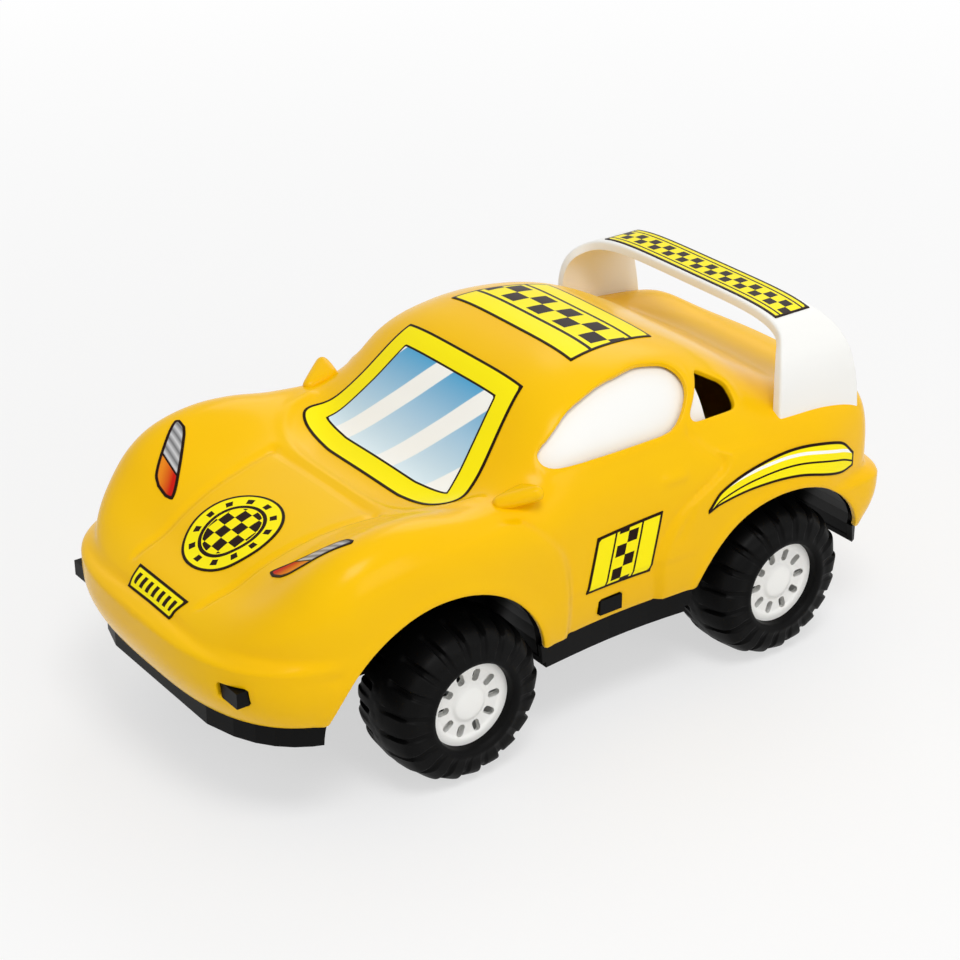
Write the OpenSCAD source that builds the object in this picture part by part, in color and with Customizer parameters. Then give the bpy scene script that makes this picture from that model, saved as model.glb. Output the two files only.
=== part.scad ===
// Toy taxi: a hollow moulded body on a black chassis tray, with a white hoop wing,
// a white window insert, printed stickers and four wheels on two turning axles.
// Nose towards -Y, left side towards +X, floor at z = 0, origin under the middle of the body.

/* [Body shell] */
// Length of the body from nose to tail
body_l = 326; // [280:1:380]
// Width of the body over the wheel arches
body_w = 166; // [150:1:190]
// Height of the widest line of the body above the floor
waist_z = 65; // [60:0.5:72]
// Height of the shell's lower edge above the floor
edge_z = 46; // [43:0.5:50]
// Height of the roof above the widest line
roof_h = 80; // [66:1:96]
// Wall thickness of the shell
shell_t = 2.2; // [1.6:0.1:2.8]
// Length of the rounding of the nose, seen from above
nose_round = 70; // [50:1:90]
// Length of the rounding of the tail, seen from above
tail_round = 26; // [20:1:40]
// Depth of the step above the bumpers
ledge = 5; // [2:0.5:7]
// Radius of the wheel arches
arch_r = 46; // [42:0.5:50]

/* [Wheels] */
// Distance between the axles
wheelbase = 160; // [140:1:180]
// Distance from the nose to the front axle
front_overhang = 100; // [92:1:110]
// Distance between the outer faces of the left and right tyres
track_w = 168; // [160:1:190]
// Outer diameter of the tyres
tyre_d = 69; // [62:0.5:70]
// Width of the tyres
tyre_w = 38; // [34:0.5:42]
// Diameter of the hub barrel that the tyre sits on
hub_d = 36; // [32:0.5:38]
// Depth of the hub face below the tyre's outer face
hub_recess = 5; // [3:0.5:8]
// Diameter of the steel axle rods
axle_d = 5; // [4:0.1:6]
// Number of tread lugs on each shoulder of a tyre
lug_count = 20; // [14:1:28]
// Width of the gap between two lugs
lug_gap = 3; // [2:0.1:4]
// Depth of the gap between two lugs
lug_depth = 2.4; // [1.5:0.1:3.5]
// Number of slots in each hub face
slot_count = 10; // [6:1:12]

/* [Chassis] */
// Height of the chassis floor's underside above the floor
chassis_z = 37.2; // [37.2:0.1:40]
// Depth of the side skirts below the chassis floor
skirt_h = 2.5; // [1:0.1:4]
// Thickness of the side skirts
skirt_t = 12; // [6:0.5:20]
// Wall and floor thickness of the chassis tray
chassis_t = 2.2; // [1.8:0.1:3]
// Width of the flat belly pad
pad_w = 50; // [40:1:56]
// Length of the flat belly pad
pad_l = 84; // [60:1:100]
// Depth of the belly pad below the chassis floor
pad_h = 2; // [1:0.1:3]
// Width of a snap tab
tab_w = 11; // [8:0.5:14]
// Height of a snap tab
tab_h = 6.5; // [5:0.5:8]
// Width of an axle bearing block
block_w = 10; // [8:0.5:14]
// Length of an axle bearing block and its cap
block_l = 26; // [22:0.5:30]
// Thickness of an axle cap
cap_h = 5.5; // [5:0.1:8]
// Shank diameter of the cap screws
screw_d = 2.6; // [2:0.1:3.2]
// Head diameter of the cap screws
screw_head_d = 5; // [4.5:0.1:6]
// Head height of the cap screws
screw_head_h = 1.8; // [1.2:0.1:2.4]

/* [Rear wing] */
// Width of the wing over its legs
wing_w = 147; // [136:1:156]
// Height of the wing's top above the floor
wing_z = 145; // [138:0.5:156]
// Wall thickness of the wing hoop
wing_t = 4; // [3:0.1:5]
// Length of the wing's legs at the body
wing_foot_l = 46; // [38:1:52]
// Length of the wing's top
wing_top_l = 22; // [18:1:28]
// Height of the ends of the wing's legs above the floor
wing_foot_z = 92; // [86:0.5:96]

/* [Window insert and stickers] */
// Thickness of the white window insert
insert_t = 1.6; // [1.2:0.1:2]
// Thickness of a sticker
sticker_t = 0.3; // [0.2:0.05:0.5]
// Radius of the round bonnet sticker
badge_r = 20; // [14:0.5:24]

/* [Hidden] */
// Radial clearance of the axle in its bearings
bearing_gap = 0.06;
// Radial clearance of parts pressed together
press_gap = 0.03;
// Clearance of a tab or leg in its slot
slot_gap = 0.4;
// Gap between the shell's lower edge and the chassis
seam_gap = 0.3;
// Gap between the shell and the window insert
insert_gap = 1.2;
// Gap under a sticker
sticker_gap = 0.85;
// How far a tab stands proud of the shell
tab_proud = 1;
// Overrun of every cut
over = 1;
$fn = 64;

// Shapes of the body. Each row pairs a share of the length from the nose with a share of a size.
// Half width at the waist, as a share of half the body's width
side_shares = [[0, 1], [.12, .99], [.22, 1], [.32, 1], [.42, .96], [.52, .93], [.6, .93], [.7, .96],
    [.8, 1], [.88, 1], [1, .96]];
// Height of the fender line above the waist, as a share of the roof's height
deck_shares = [[0, .1], [.02, .2], [.045, .3], [.086, .43], [.123, .55], [.166, .64], [.218, .68],
    [.267, .668], [.33, .618], [.4, .607], [.47, .64], [.6, .65], [.74, .64], [.82, .615], [.88, .61], [.94, .605],
    [.97, .585], [1, .52]];
// Depth of the dip between the fenders, as a share of the roof's height
dip_shares = [[0, 0], [.03, .055], [.086, .17], [.144, .24], [.2, .255], [.25, .24], [.347, .163], [.45, 0],
    [.8, 0], [.88, .08], [.95, .11], [1, .04]];
// Height of the cabin above the waist, as a share of the roof's height
roof_shares = [[.29, .28], [.347, .435], [.411, .675], [.475, .915], [.54, .994], [.61, 1], [.69, .94],
    [.76, .82], [.85, .59], [.92, .38], [1, .25]];
// Half width of the cabin at the waist, as a share of half the body's width
cabin_shares = [[.29, .84], [.4, .87], [.5, .88], [.6, .88], [.7, .87], [.8, .85], [1, .81]];
// Half width of the dip, as a share of half the body's width
dip_w_share = 0.68;
// How far the lower edge draws in sideways and lengthways, as shares of the width and the length
tuck_x_share = 0.03;
tuck_y_share = 0.04;
// Reach of the bumper step along the body, as a share of its length
ledge_reach_share = 0.16;
// Middle of the bumper step above the waist in front and behind, and its height, as shares of the roof's height
ledge_front_share = 0.11;
ledge_rear_share = 0.075;
ledge_rise_share = 0.1;
// Radius of the blend between fenders and cabin, as a share of the roof's height
blend_share = 0.11;
// Roundness of the fenders, the cabin, the dip, the nose and the tail, as exponents
fender_power = 5;
cabin_power = 4;
dip_power = 5;
nose_power = 3;
tail_power = 4;
// Passes that find the point of the plain fender under a point of the dip
dip_passes = 8;
// Ends of the outer and the inner skin, as shares of the length
tip_share = 0.0004;
inner_tip_share = 0.014;

function ease(u) = let (c = min(max(u, 0), 1)) c * c * (3 - 2 * c);
function mix(p, q, u) = p + (q - p) * u;
function blend_max(p, q, k) = max(p, q) + pow(max(k - abs(p - q), 0), 2) / (4 * k);
function superellipse(w, h, n, a) = pow(pow(abs(cos(a)) / w, n) + pow(abs(sin(a)) / h, n), -1 / n);
// Smooth curve through the rows of a table
function row_at(u, rows, i = 0) = i >= len(rows) - 2 || u < rows[i + 1][0] ? i : row_at(u, rows, i + 1);
function slope(rows, i, c) = let (p = rows[max(i - 1, 0)], q = rows[min(i + 1, len(rows) - 1)])
    (q[c] - p[c]) / (q[0] - p[0]);
function curve(v, rows, c = 1) =
    let (u = min(max(v, rows[0][0]), rows[len(rows) - 1][0]), i = row_at(u, rows),
        d = rows[i + 1][0] - rows[i][0], s = (u - rows[i][0]) / d)
    rows[i][c] * (2 * pow(s, 3) - 3 * s * s + 1) + slope(rows, i, c) * d * (pow(s, 3) - 2 * s * s + s)
    + rows[i + 1][c] * (3 * s * s - 2 * pow(s, 3)) + slope(rows, i + 1, c) * d * (pow(s, 3) - s * s);

// Sizes of the section at a share u of the length:
// half width, fender height, dip, cabin half width, roof height
half_w = body_w / 2;
function nose_end(y) = pow(1 - pow(max(nose_round - y, 0) / nose_round, nose_power), 1 / nose_power);
function tail_end(y) = pow(1 - pow(max(y - body_l + tail_round, 0) / tail_round, tail_power), 1 / tail_power);
function station(u) = [
    half_w * curve(u, side_shares) * nose_end(u * body_l) * tail_end(u * body_l),
    roof_h * curve(u, deck_shares), roof_h * curve(u, dip_shares),
    half_w * curve(u, cabin_shares) * tail_end(u * body_l), roof_h * curve(u, roof_shares)];
// Share of its height that a point of the plain fender keeps in the dip
function dip_keep(s, x) = 1 - s[2] / s[1] * exp(-pow(abs(x) / (dip_w_share * half_w), dip_power));
// Angle on the plain fender of the point that the dip brings to the angle a
function plain_angle(s, a, b, n) = n == 0 ? b
    : let (x = superellipse(s[0], s[1], fender_power, b) * cos(b))
    plain_angle(s, a, atan2(sin(a) / dip_keep(s, x), cos(a)), n - 1);
function fender(s, a) =
    let (b = plain_angle(s, a, a, dip_passes), r = superellipse(s[0], s[1], fender_power, b), x = r * cos(b))
    norm([x, r * sin(b) * dip_keep(s, x)]);
function reach(u, s, a) = u < roof_shares[0][0] ? fender(s, a)
    : blend_max(fender(s, a), superellipse(s[3], s[4], cabin_power, a), blend_share * roof_h);
// Draws a point in above the bumper step
function stepped(u, p) =
    let (nose = 1 - ease(u / ledge_reach_share), tail = ease((u - 1 + ledge_reach_share) / ledge_reach_share),
        mid = roof_h * (nose > 0 ? ledge_front_share : ledge_rear_share),
        up = ease((p[2] - waist_z - mid) / (ledge_rise_share * roof_h) + 0.5))
    [p[0] * (1 - ledge / half_w * up * (nose + tail)), p[1] + ledge * up * (nose - tail), p[2]];
// Point of the skin above the waist at an angle a from the left side, moved out by off
function skin(u, s, a, off = 0) = let (r = reach(u, s, a) + off)
    stepped(u, [r * cos(a), (u - 0.5) * (body_l + 2 * off), waist_z + r * sin(a)]);
// Point below the waist, q of the way down to the lower edge at height low
function sill(u, s, q, low, off = 0) =
    stepped(u, [(s[0] + off) * (1 - tuck_x_share * q * q),
        (u - 0.5) * (body_l + 2 * off) * (1 - tuck_y_share * q * q), waist_z - q * (waist_z - low)]);
function mirrored(p) = [-p[0], p[1], p[2]];
function ring(u, off, low, rows, steps) =
    let (s = station(u),
        left = [for (i = [rows:-1:1]) sill(u, s, i / rows, low, off)])
    concat(left, [for (i = [0:steps]) skin(u, s, 180 * i / steps, off)],
        [for (i = [rows - 1:-1:0]) mirrored(left[i])]);

// Closed solid through rings of equal length, each one mirrored about its middle
module loft(rings) {
    n = len(rings);
    m = len(rings[0]);
    half = floor((m - 1) / 2);
    function cap(b, turn) = [for (j = [0:half - 1]) let (k = m - 1 - j)
        each j + 1 == k - 1 ? [turn ? [b + j, b + k, b + j + 1] : [b + j, b + j + 1, b + k]]
        : turn ? [[b + j, b + k, b + j + 1], [b + j + 1, b + k, b + k - 1]]
        : [[b + j, b + j + 1, b + k], [b + j + 1, b + k - 1, b + k]]];
    walls = [for (i = [0:n - 2], j = [0:m - 1]) let (k = (j + 1) % m, a = i * m, b = a + m)
        each j < half ? [[a + j, a + k, b + k], [a + j, b + k, b + j]]
        : [[a + j, a + k, b + j], [a + k, b + k, b + j]]];
    polyhedron([for (r = rings) each r], concat(walls, cap(0, true), cap((n - 1) * m, false)));
}

// Shares of the length at which the skin has its rings, closer at the ends
crowd_share = 0.55;
function eased_end(v) = (1 - cos(180 * v)) / 2;
function ring_shares(count, tip) = [for (i = [0:count])
    mix(tip, 1 - tip, mix(i / count, eased_end(i / count), crowd_share))];
outer_rings = 61;
inner_rings = 40;
outer_steps = 40;
inner_steps = 26;
sill_rows = 3;
module outer_skin() {
    loft([for (u = ring_shares(outer_rings, tip_share)) ring(u, 0, edge_z, sill_rows, outer_steps)]);
}
module inner_skin() {
    loft([for (u = ring_shares(inner_rings, inner_tip_share))
        ring(u, -shell_t, edge_z - over, sill_rows, inner_steps)]);
}

// Places
front_y = front_overhang - body_l / 2;
rear_y = front_y + wheelbase;
axle_z = tyre_d / 2;
axle_ys = [front_y, rear_y];
// Radii of the front and rear wheel arches and their moves from the axles, as shares of the arch radius
arch_size_shares = [1.087, 1];
arch_shift_shares = [-0.272, 0];
arch_lift_shares = [0.022, -0.045];
function arch_radius(i) = arch_size_shares[i] * arch_r;
function arch_y(i) = axle_ys[i] + arch_shift_shares[i] * arch_r;
function arch_z(i) = axle_z + arch_lift_shares[i] * arch_r;
tyre_in = track_w / 2 - tyre_w;
// Gap between a tyre and the inner wall of its well
well_gap = 5;
well_in = tyre_in - well_gap;

// Cylinder along X from x0 to x1
module bar_x(x0, x1, r, y, z) {
    translate([x0, y, z]) rotate([0, 90, 0]) cylinder(r = r, h = x1 - x0);
}
module both_sides() {
    for (i = [0, 1]) mirror([i, 0, 0]) children();
}

// Side window and quarter window: corners as shares of the body's length and of the roof's height,
// and the radius of each corner as a share of the roof's height
window_shares = [[.446, .665, .03], [.503, .8, .056], [.558, .855, .062], [.617, .862, .069], [.665, .838, .056],
    [.636, .675, .037]];
quarter_shares = [[.668, .675, .03], [.738, .666, .032], [.736, .712, .035], [.698, .807, .025]];
module window_cut(corners) {
    rotate([90, 0, 90]) linear_extrude(body_w) hull()
        for (c = corners) translate([(c[0] - 0.5) * body_l, waist_z + c[1] * roof_h])
            circle(r = c[2] * roof_h, $fn = 24);
}
// Mirror fin beside the foot of the screen pillar: places as shares of the length, half width and roof height
mirror_shares = [[.38, .8, .54], [.412, .8, .565], [.414, .89, .59]];
mirror_r_share = 0.04;
module mirror_fin() {
    hull() for (p = mirror_shares)
        translate([p[1] * half_w, (p[0] - 0.5) * body_l, waist_z + p[2] * roof_h])
            sphere(r = mirror_r_share * roof_h, $fn = 20);
}
// Snap tabs: a share of the length, a share of the way down to the edge, and the way the tab points
front_tab_share = 0.0265;
side_tab_share = 0.5245;
front_drop_share = 0.2;
side_drop_share = 0.63;
function tab_point(u, q) = sill(u, station(u), q, edge_z);
front_tab = tab_point(front_tab_share, front_drop_share);
side_tab = tab_point(side_tab_share, side_drop_share);
// Places a tab at the front corners, pointing forward, or on the sills, pointing outward
module at_front_tabs() {
    both_sides() translate(front_tab) rotate([0, 0, -90]) children();
}
module at_side_tabs() {
    both_sides() translate(side_tab) children();
}
module tab_bar(back, gap) {
    translate([-back, -tab_w / 2 - gap, -tab_h / 2 - gap])
        cube([back + tab_proud + gap, tab_w + 2 * gap, tab_h + 2 * gap]);
}

// Wing hoop: a superellipse over its legs, cut to its side outline
wing_power = 5;
wing_spring_share = 0.31;
wing_spring_z = wing_z * (1 - wing_spring_share);
wing_steps = 48;
function hoop_point(w, h, i) = let (a = 180 * i / wing_steps, r = superellipse(w, h, wing_power, a))
    [r * cos(a), wing_spring_z + r * sin(a)];
function hoop_side(off, foot) = concat([[wing_w / 2 + off, foot]],
    [for (i = [0:wing_steps]) hoop_point(wing_w / 2 + off, wing_z - wing_spring_z + off, i)],
    [[-wing_w / 2 - off, foot]]);
module hoop(gap) {
    rotate([90, 0, 0]) linear_extrude(body_l, center = true) difference() {
        polygon(hoop_side(gap, wing_foot_z - gap));
        polygon(hoop_side(-wing_t - gap, wing_foot_z - gap - over));
    }
}
// Side outline of the wing: shares of the foot's length and of the height from foot to top
wing_back_share = 0.939;
wing_y = (wing_back_share - 0.5) * body_l;
wing_rake_share = 0.29;
wing_lip_share = 0.05;
wing_top_share = wing_rake_share + wing_top_l / wing_foot_l;
wing_front_shares = [[0, .98], [.45, 1], [.65, .985], [.8, .93], [.92, wing_top_share + wing_lip_share],
    [1, wing_top_share]];
wing_rear_shares = [[0, 0], [.35, .04], [.65, .12], [.85, .2], [.93, .24], [1, wing_rake_share]];
wing_out_steps = 16;
function wing_edge(rows) = [for (i = [0:wing_out_steps]) let (v = i / wing_out_steps)
    [wing_y - curve(v, rows) * wing_foot_l, mix(wing_foot_z, wing_z, v)]];
module wing_outline(gap) {
    front = wing_edge(wing_front_shares);
    rear = wing_edge(wing_rear_shares);
    function drop(i) = i == 0 ? gap : 0;
    shape = concat([for (i = [0:wing_out_steps]) front[i] - [gap, drop(i)]],
        [for (i = [wing_out_steps:-1:0]) rear[i] + [gap, -drop(i)]]);
    rotate([90, 0, 90]) linear_extrude(wing_w + body_w, center = true) polygon(shape);
}
module wing_solid(gap) {
    intersection() {
        hoop(gap);
        wing_outline(gap);
    }
}

module body_shell() {
    color("#f5b90c") difference() {
        union() {
            outer_skin();
            both_sides() mirror_fin();
        }
        inner_skin();
        both_sides() {
            window_cut(window_shares);
            window_cut(quarter_shares);
        }
        for (i = [0, 1]) both_sides() bar_x(well_in, body_w, arch_radius(i), arch_y(i), arch_z(i));
        at_front_tabs() tab_bar(tab_w, slot_gap);
        at_side_tabs() tab_bar(tab_w, slot_gap);
        wing_solid(slot_gap);
        both_sides() handle_cut();
    }
}
// Shallow door handle pocket: middle as shares of the length and of the roof's height, size as a share of a tab
handle_shares = [.612, .46];
handle_size_share = 0.35;
handle_out_share = 0.25;
module handle_cut() {
    y = (handle_shares[0] - 0.5) * body_l;
    z = waist_z + handle_shares[1] * roof_h;
    x = side_at(y, z, 0)[0];
    hull() for (d = [-1, 1]) translate([x + handle_out_share * shell_t, y + d * tab_w / 2, z])
        sphere(r = tab_w * handle_size_share / 2, $fn = 16);
}

// Outline of the chassis: the shell's lower edge drawn in
chassis_draw = 1.2;
outline_rings = 40;
function edge_outline(d) =
    let (half = [for (u = ring_shares(outline_rings, inner_tip_share / 2))
        let (p = sill(u, station(u), 1, edge_z)) [max(p[0] - d, 0), p[1] * (1 - 2 * d / body_l)]])
    concat(half, [for (i = [outline_rings:-1:0]) [-half[i][0], half[i][1]]]);
tray_top = edge_z - seam_gap;
module tray() {
    difference() {
        translate([0, 0, chassis_z]) linear_extrude(tray_top - chassis_z) polygon(edge_outline(chassis_draw));
        translate([0, 0, chassis_z + chassis_t]) linear_extrude(tray_top)
            polygon(edge_outline(chassis_draw + chassis_t));
    }
}
// Side skirts: strips under the tray's edge between the wheels
skirt_end_gap = 2;
module skirts() {
    y0 = arch_y(0) + arch_radius(0) + skirt_end_gap;
    y1 = arch_y(1) - arch_radius(1) - skirt_end_gap;
    intersection() {
        translate([0, 0, chassis_z - skirt_h]) linear_extrude(skirt_h + over) difference() {
            polygon(edge_outline(chassis_draw));
            polygon(edge_outline(chassis_draw + skirt_t));
        }
        translate([-body_w, y0, 0]) cube([2 * body_w, y1 - y0, body_w]);
    }
}
// Wheel wells: arched sheets over the tyres that reach out to the shell, closed by a disc on the inside
well_steps = 18;
// Gap between the outer edge of a well and the shell
well_shell_gap = 2.2;
// Radial step between the wheel opening of the tray and the sheet of the well
well_step = 0.3;
well_base = chassis_z + chassis_t / 2;
// Inside of the shell beside a point of its side
function wall_x(y, z) = z >= waist_z ? side_at(y, z, -shell_t)[0]
    : let (q = (waist_z - z) / (waist_z - edge_z), u = share_at(y / (1 - tuck_y_share * q * q)))
    sill(u, station(u), q, edge_z, -shell_t)[0];
function well_r(i) = arch_radius(i) + well_step;
function well_ring(i, a) =
    let (r = well_r(i) + chassis_t, y = arch_y(i) - r * cos(a), z = arch_z(i) + r * sin(a),
        x0 = well_in - chassis_t / 2, x1 = max(wall_x(y, max(z, edge_z)) - well_shell_gap, well_in),
        yi = arch_y(i) - well_r(i) * cos(a), zi = arch_z(i) + well_r(i) * sin(a))
    [[x0, yi, zi], [x1, yi, zi], [x1, y, z], [x0, y, z]];
module well_sheets() {
    for (i = [0, 1]) {
        low = asin((well_base - arch_z(i)) / well_r(i));
        both_sides() loft([for (j = [0:well_steps]) well_ring(i, mix(low, 180 - low, j / well_steps))]);
    }
}
module well_discs() {
    intersection() {
        for (i = [0, 1]) both_sides()
            bar_x(well_in - chassis_t, well_in, well_r(i) + chassis_t / 2, arch_y(i), arch_z(i));
        translate([-body_w, -body_l, chassis_z]) cube([2 * body_w, 2 * body_l, body_w]);
    }
}
// Bearing blocks under the floor, with their screws before and behind the axle
block_x = well_in - chassis_t - block_w / 2;
// Wall left beside a screw head and above a screw hole, and the gap left before the screw's end
head_wall = 0.5;
boss_top = 1;
screw_end_gap = 1;
screw_y = (block_l - screw_head_d) / 2 - head_wall;
// Height of the screw bosses above the underside of the floor
boss_h = 8;
module at_blocks() {
    for (y = axle_ys) both_sides() translate([block_x, y, 0]) children();
}
module at_screws() {
    for (d = [-1, 1]) translate([0, d * screw_y, 0]) children();
}
cap_z = axle_z - cap_h;
screw_l = chassis_z + boss_h - boss_top - cap_z - screw_head_h;
// Tab posts: from the tray floor up behind each tab, set back by shares of half the width
tab_back_shares = [0.27, 0.16];
module tab_post(back, z) {
    translate([-back - chassis_t, -tab_w / 2, chassis_z - z])
        cube([chassis_t, tab_w, z + tab_h / 2 - chassis_z]);
    tab_bar(back + chassis_t, 0);
}
module chassis() {
    color("#141414") difference() {
        union() {
            difference() {
                tray();
                for (i = [0, 1]) both_sides() bar_x(well_in, body_w, arch_radius(i), arch_y(i), arch_z(i));
            }
            skirts();
            well_discs();
            well_sheets();
            translate([-pad_w / 2, (front_y + rear_y - pad_l) / 2, chassis_z - pad_h])
                cube([pad_w, pad_l, pad_h + over]);
            at_blocks() {
                translate([-block_w / 2, -block_l / 2, axle_z])
                    cube([block_w, block_l, chassis_z - axle_z + over]);
                at_screws() translate([0, 0, chassis_z]) cylinder(r = screw_d, h = boss_h);
            }
            at_front_tabs() tab_post(tab_back_shares[0] * half_w, front_tab[2]);
            at_side_tabs() tab_post(tab_back_shares[1] * half_w, side_tab[2]);
        }
        for (y = axle_ys) bar_x(-half_w, half_w, axle_d / 2 + bearing_gap, y, axle_z);
        at_blocks() at_screws() translate([0, 0, axle_z - over])
            cylinder(d = screw_d + 2 * press_gap, h = screw_l + screw_head_h + cap_z - axle_z + over);
    }
}

module axle_cap(x, y) {
    color("#1b1b1b") difference() {
        translate([x - block_w / 2, y - block_l / 2, cap_z]) cube([block_w, block_l, cap_h - seam_gap]);
        bar_x(x - block_w, x + block_w, axle_d / 2 + bearing_gap, y, axle_z);
        translate([x, y, 0]) at_screws() {
            translate([0, 0, cap_z - over]) cylinder(d = screw_d + 2 * slot_gap, h = cap_h + 2 * over);
            translate([0, 0, cap_z - over]) cylinder(d = screw_head_d + slot_gap, h = screw_head_h + over);
        }
    }
}
module front_left_axle_cap() { axle_cap(block_x, front_y); }
module front_right_axle_cap() { axle_cap(-block_x, front_y); }
module rear_left_axle_cap() { axle_cap(block_x, rear_y); }
module rear_right_axle_cap() { axle_cap(-block_x, rear_y); }
module axle_cap_screws() {
    color("#9a9c9e") at_blocks() at_screws() translate([0, 0, cap_z]) {
        cylinder(d = screw_head_d, h = screw_head_h);
        cylinder(d = screw_d, h = screw_head_h + screw_l - screw_end_gap);
    }
}

// Wheels. Each one is made along X from its outer face inward.
// Thickness of the hub's face and of its barrel, and how far the barrel ends before the tyre's inner face
hub_face_t = 3;
hub_wall = 2;
hub_inset = 3;
// Depth of the solid end of the hub before the axle bore
bore_end = 5;
// Diameter of the hub's boss as a share of the axle's, and its length as a share of the hub's
boss_d_share = 2.2;
boss_reach_share = 0.55;
hub_l = tyre_w - hub_recess - hub_inset;
axle_l = track_w - 2 * (hub_recess + bore_end);
module wheel_at(side, y) {
    mirror([side < 0 ? 1 : 0, 0, 0]) translate([track_w / 2, y, axle_z]) rotate([0, -90, 0]) children();
}
// Tyre section: distance from the axis and depth from the outer face, as shares of the wall and the width
shoulder_share = 0.16;
crown_share = 0.03;
lip_share = 0.08;
edge_in_share = 0.33;
edge_down_share = 0.25;
tyre_bore = hub_d / 2 + press_gap;
tyre_r = tyre_d / 2;
module tyre_section() {
    wall = tyre_r - tyre_bore;
    crown = crown_share * tyre_d;
    corner = shoulder_share * tyre_w;
    edge_r = tyre_r - crown - edge_in_share * corner;
    edge_d = edge_down_share * corner;
    polygon([[tyre_bore, 0], [tyre_bore + lip_share * wall, 0], [tyre_r - crown - corner, 0],
        [edge_r, edge_d], [tyre_r - crown / 2, corner], [tyre_r, tyre_w / 2 - corner],
        [tyre_r, tyre_w / 2 + corner], [tyre_r - crown / 2, tyre_w - corner],
        [edge_r, tyre_w - edge_d], [tyre_r - crown - corner, tyre_w], [tyre_bore, tyre_w]]);
}
// Gaps between the lugs run from the sidewall over the shoulder
lug_reach_share = 0.36;
module lug_gaps() {
    for (i = [0:lug_count - 1], far = [0, 1]) rotate([0, 0, 360 * (i + far / 2) / lug_count]) {
        depth = lug_reach_share * tyre_w;
        start = far == 0 ? -over : tyre_w - depth;
        translate([tyre_r - lug_depth, -lug_gap / 2, start]) cube([lug_depth + over, lug_gap, depth + over]);
    }
}
module tyre(side, y) {
    color("#161616") wheel_at(side, y) difference() {
        rotate_extrude() tyre_section();
        lug_gaps();
    }
}
// Slots of the hub: place, length and width as shares of the barrel's radius
slot_ring_share = 0.70;
slot_l_share = 0.26;
slot_w_share = 0.15;
module hub(side, y) {
    barrel_r = hub_d / 2;
    color("#f2f2f0") wheel_at(side, y) translate([0, 0, hub_recess]) difference() {
        union() {
            difference() {
                cylinder(r = barrel_r, h = hub_l);
                translate([0, 0, hub_face_t]) cylinder(r = barrel_r - hub_wall, h = hub_l);
            }
            cylinder(d = boss_d_share * axle_d, h = hub_face_t + boss_reach_share * hub_l);
        }
        translate([0, 0, bore_end]) cylinder(d = axle_d + 2 * press_gap, h = hub_l + over);
        for (i = [0:slot_count - 1]) rotate([0, 0, 360 * i / slot_count])
            translate([slot_ring_share * barrel_r, 0, hub_face_t / 2])
                cube([slot_l_share * barrel_r, slot_w_share * barrel_r, hub_face_t + over], center = true);
    }
}
module axle(y) {
    color("#b9bbbd") bar_x(-axle_l / 2, axle_l / 2, axle_d / 2, y, axle_z);
}
module front_axle() { axle(front_y); }
module rear_axle() { axle(rear_y); }
module front_left_tyre() { tyre(1, front_y); }
module front_right_tyre() { tyre(-1, front_y); }
module rear_left_tyre() { tyre(1, rear_y); }
module rear_right_tyre() { tyre(-1, rear_y); }
module front_left_hub() { hub(1, front_y); }
module front_right_hub() { hub(-1, front_y); }
module rear_left_hub() { hub(1, rear_y); }
module rear_right_hub() { hub(-1, rear_y); }

module rear_wing() {
    color("#f4f4f2") wing_solid(0);
}

// Window insert: a white canopy under the roof, from the screen pillars to just behind the door windows
insert_shares = [.425, .7];
insert_rings = 12;
insert_steps = 26;
insert_angle = 33;
module window_insert() {
    outer = -shell_t - insert_gap;
    inner = outer - insert_t;
    angles = [for (i = [0:insert_steps]) mix(insert_angle, 180 - insert_angle, i / insert_steps)];
    color("#f7f7f5") loft([for (i = [0:insert_rings])
        let (u = mix(insert_shares[0], insert_shares[1], i / insert_rings), s = station(u))
        concat([for (a = angles) skin(u, s, a, outer)],
            [for (j = [insert_steps:-1:0]) skin(u, s, angles[j], inner)])]);
}

// Angle and place on the skin above a point of the plan, found by halving
function angle_for(u, s, c, goal, lo, hi, n) = n == 0 ? (lo + hi) / 2
    : let (mid = (lo + hi) / 2, v = skin(u, s, mid)[c], low_side = c == 0 ? v > goal : v < goal)
    angle_for(u, s, c, goal, low_side ? mid : lo, low_side ? hi : mid, n - 1);
halvings = 16;
passes = 4;
function share_at(y) = min(max(y / body_l + 0.5, tip_share), 1 - tip_share);
function place(y, goal, c, hi, off, u, n) =
    let (s = station(u), a = angle_for(u, s, c, goal, 0, hi, halvings), p = skin(u, s, a))
    n == 0 ? skin(u, s, a, off)
    : place(y, goal, c, hi, off, max(u + (y - p[1]) / body_l, tip_share), n - 1);
function top_at(x, y, off) = place(y, x, 0, 180, off, share_at(y), passes);
function side_at(y, z, off) = place(y, z, 2, 90, off, share_at(y), passes);

// Thin skin through rows of points, each row given twice: under and over
module film(rows_under, rows_over) {
    n = len(rows_under[0]);
    loft([for (i = [0:len(rows_under) - 1])
        concat(rows_over[i], [for (j = [n - 1:-1:0]) rows_under[i][j]])]);
}
top_off = sticker_gap + sticker_t;
// Sticker that faces up: rows of length share, inner and outer half width share
module top_sticker(rows, count, across) {
    function place_row(v, off) = let (y = (curve(v, rows, 1) - 0.5) * body_l)
        [for (j = [0:across]) top_at(half_w * mix(curve(v, rows, 3), curve(v, rows, 2), j / across), y, off)];
    vs = [for (i = [0:count]) i / count];
    color("#ffe91a") film([for (v = vs) place_row(v, sticker_gap)], [for (v = vs) place_row(v, top_off)]);
}
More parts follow.
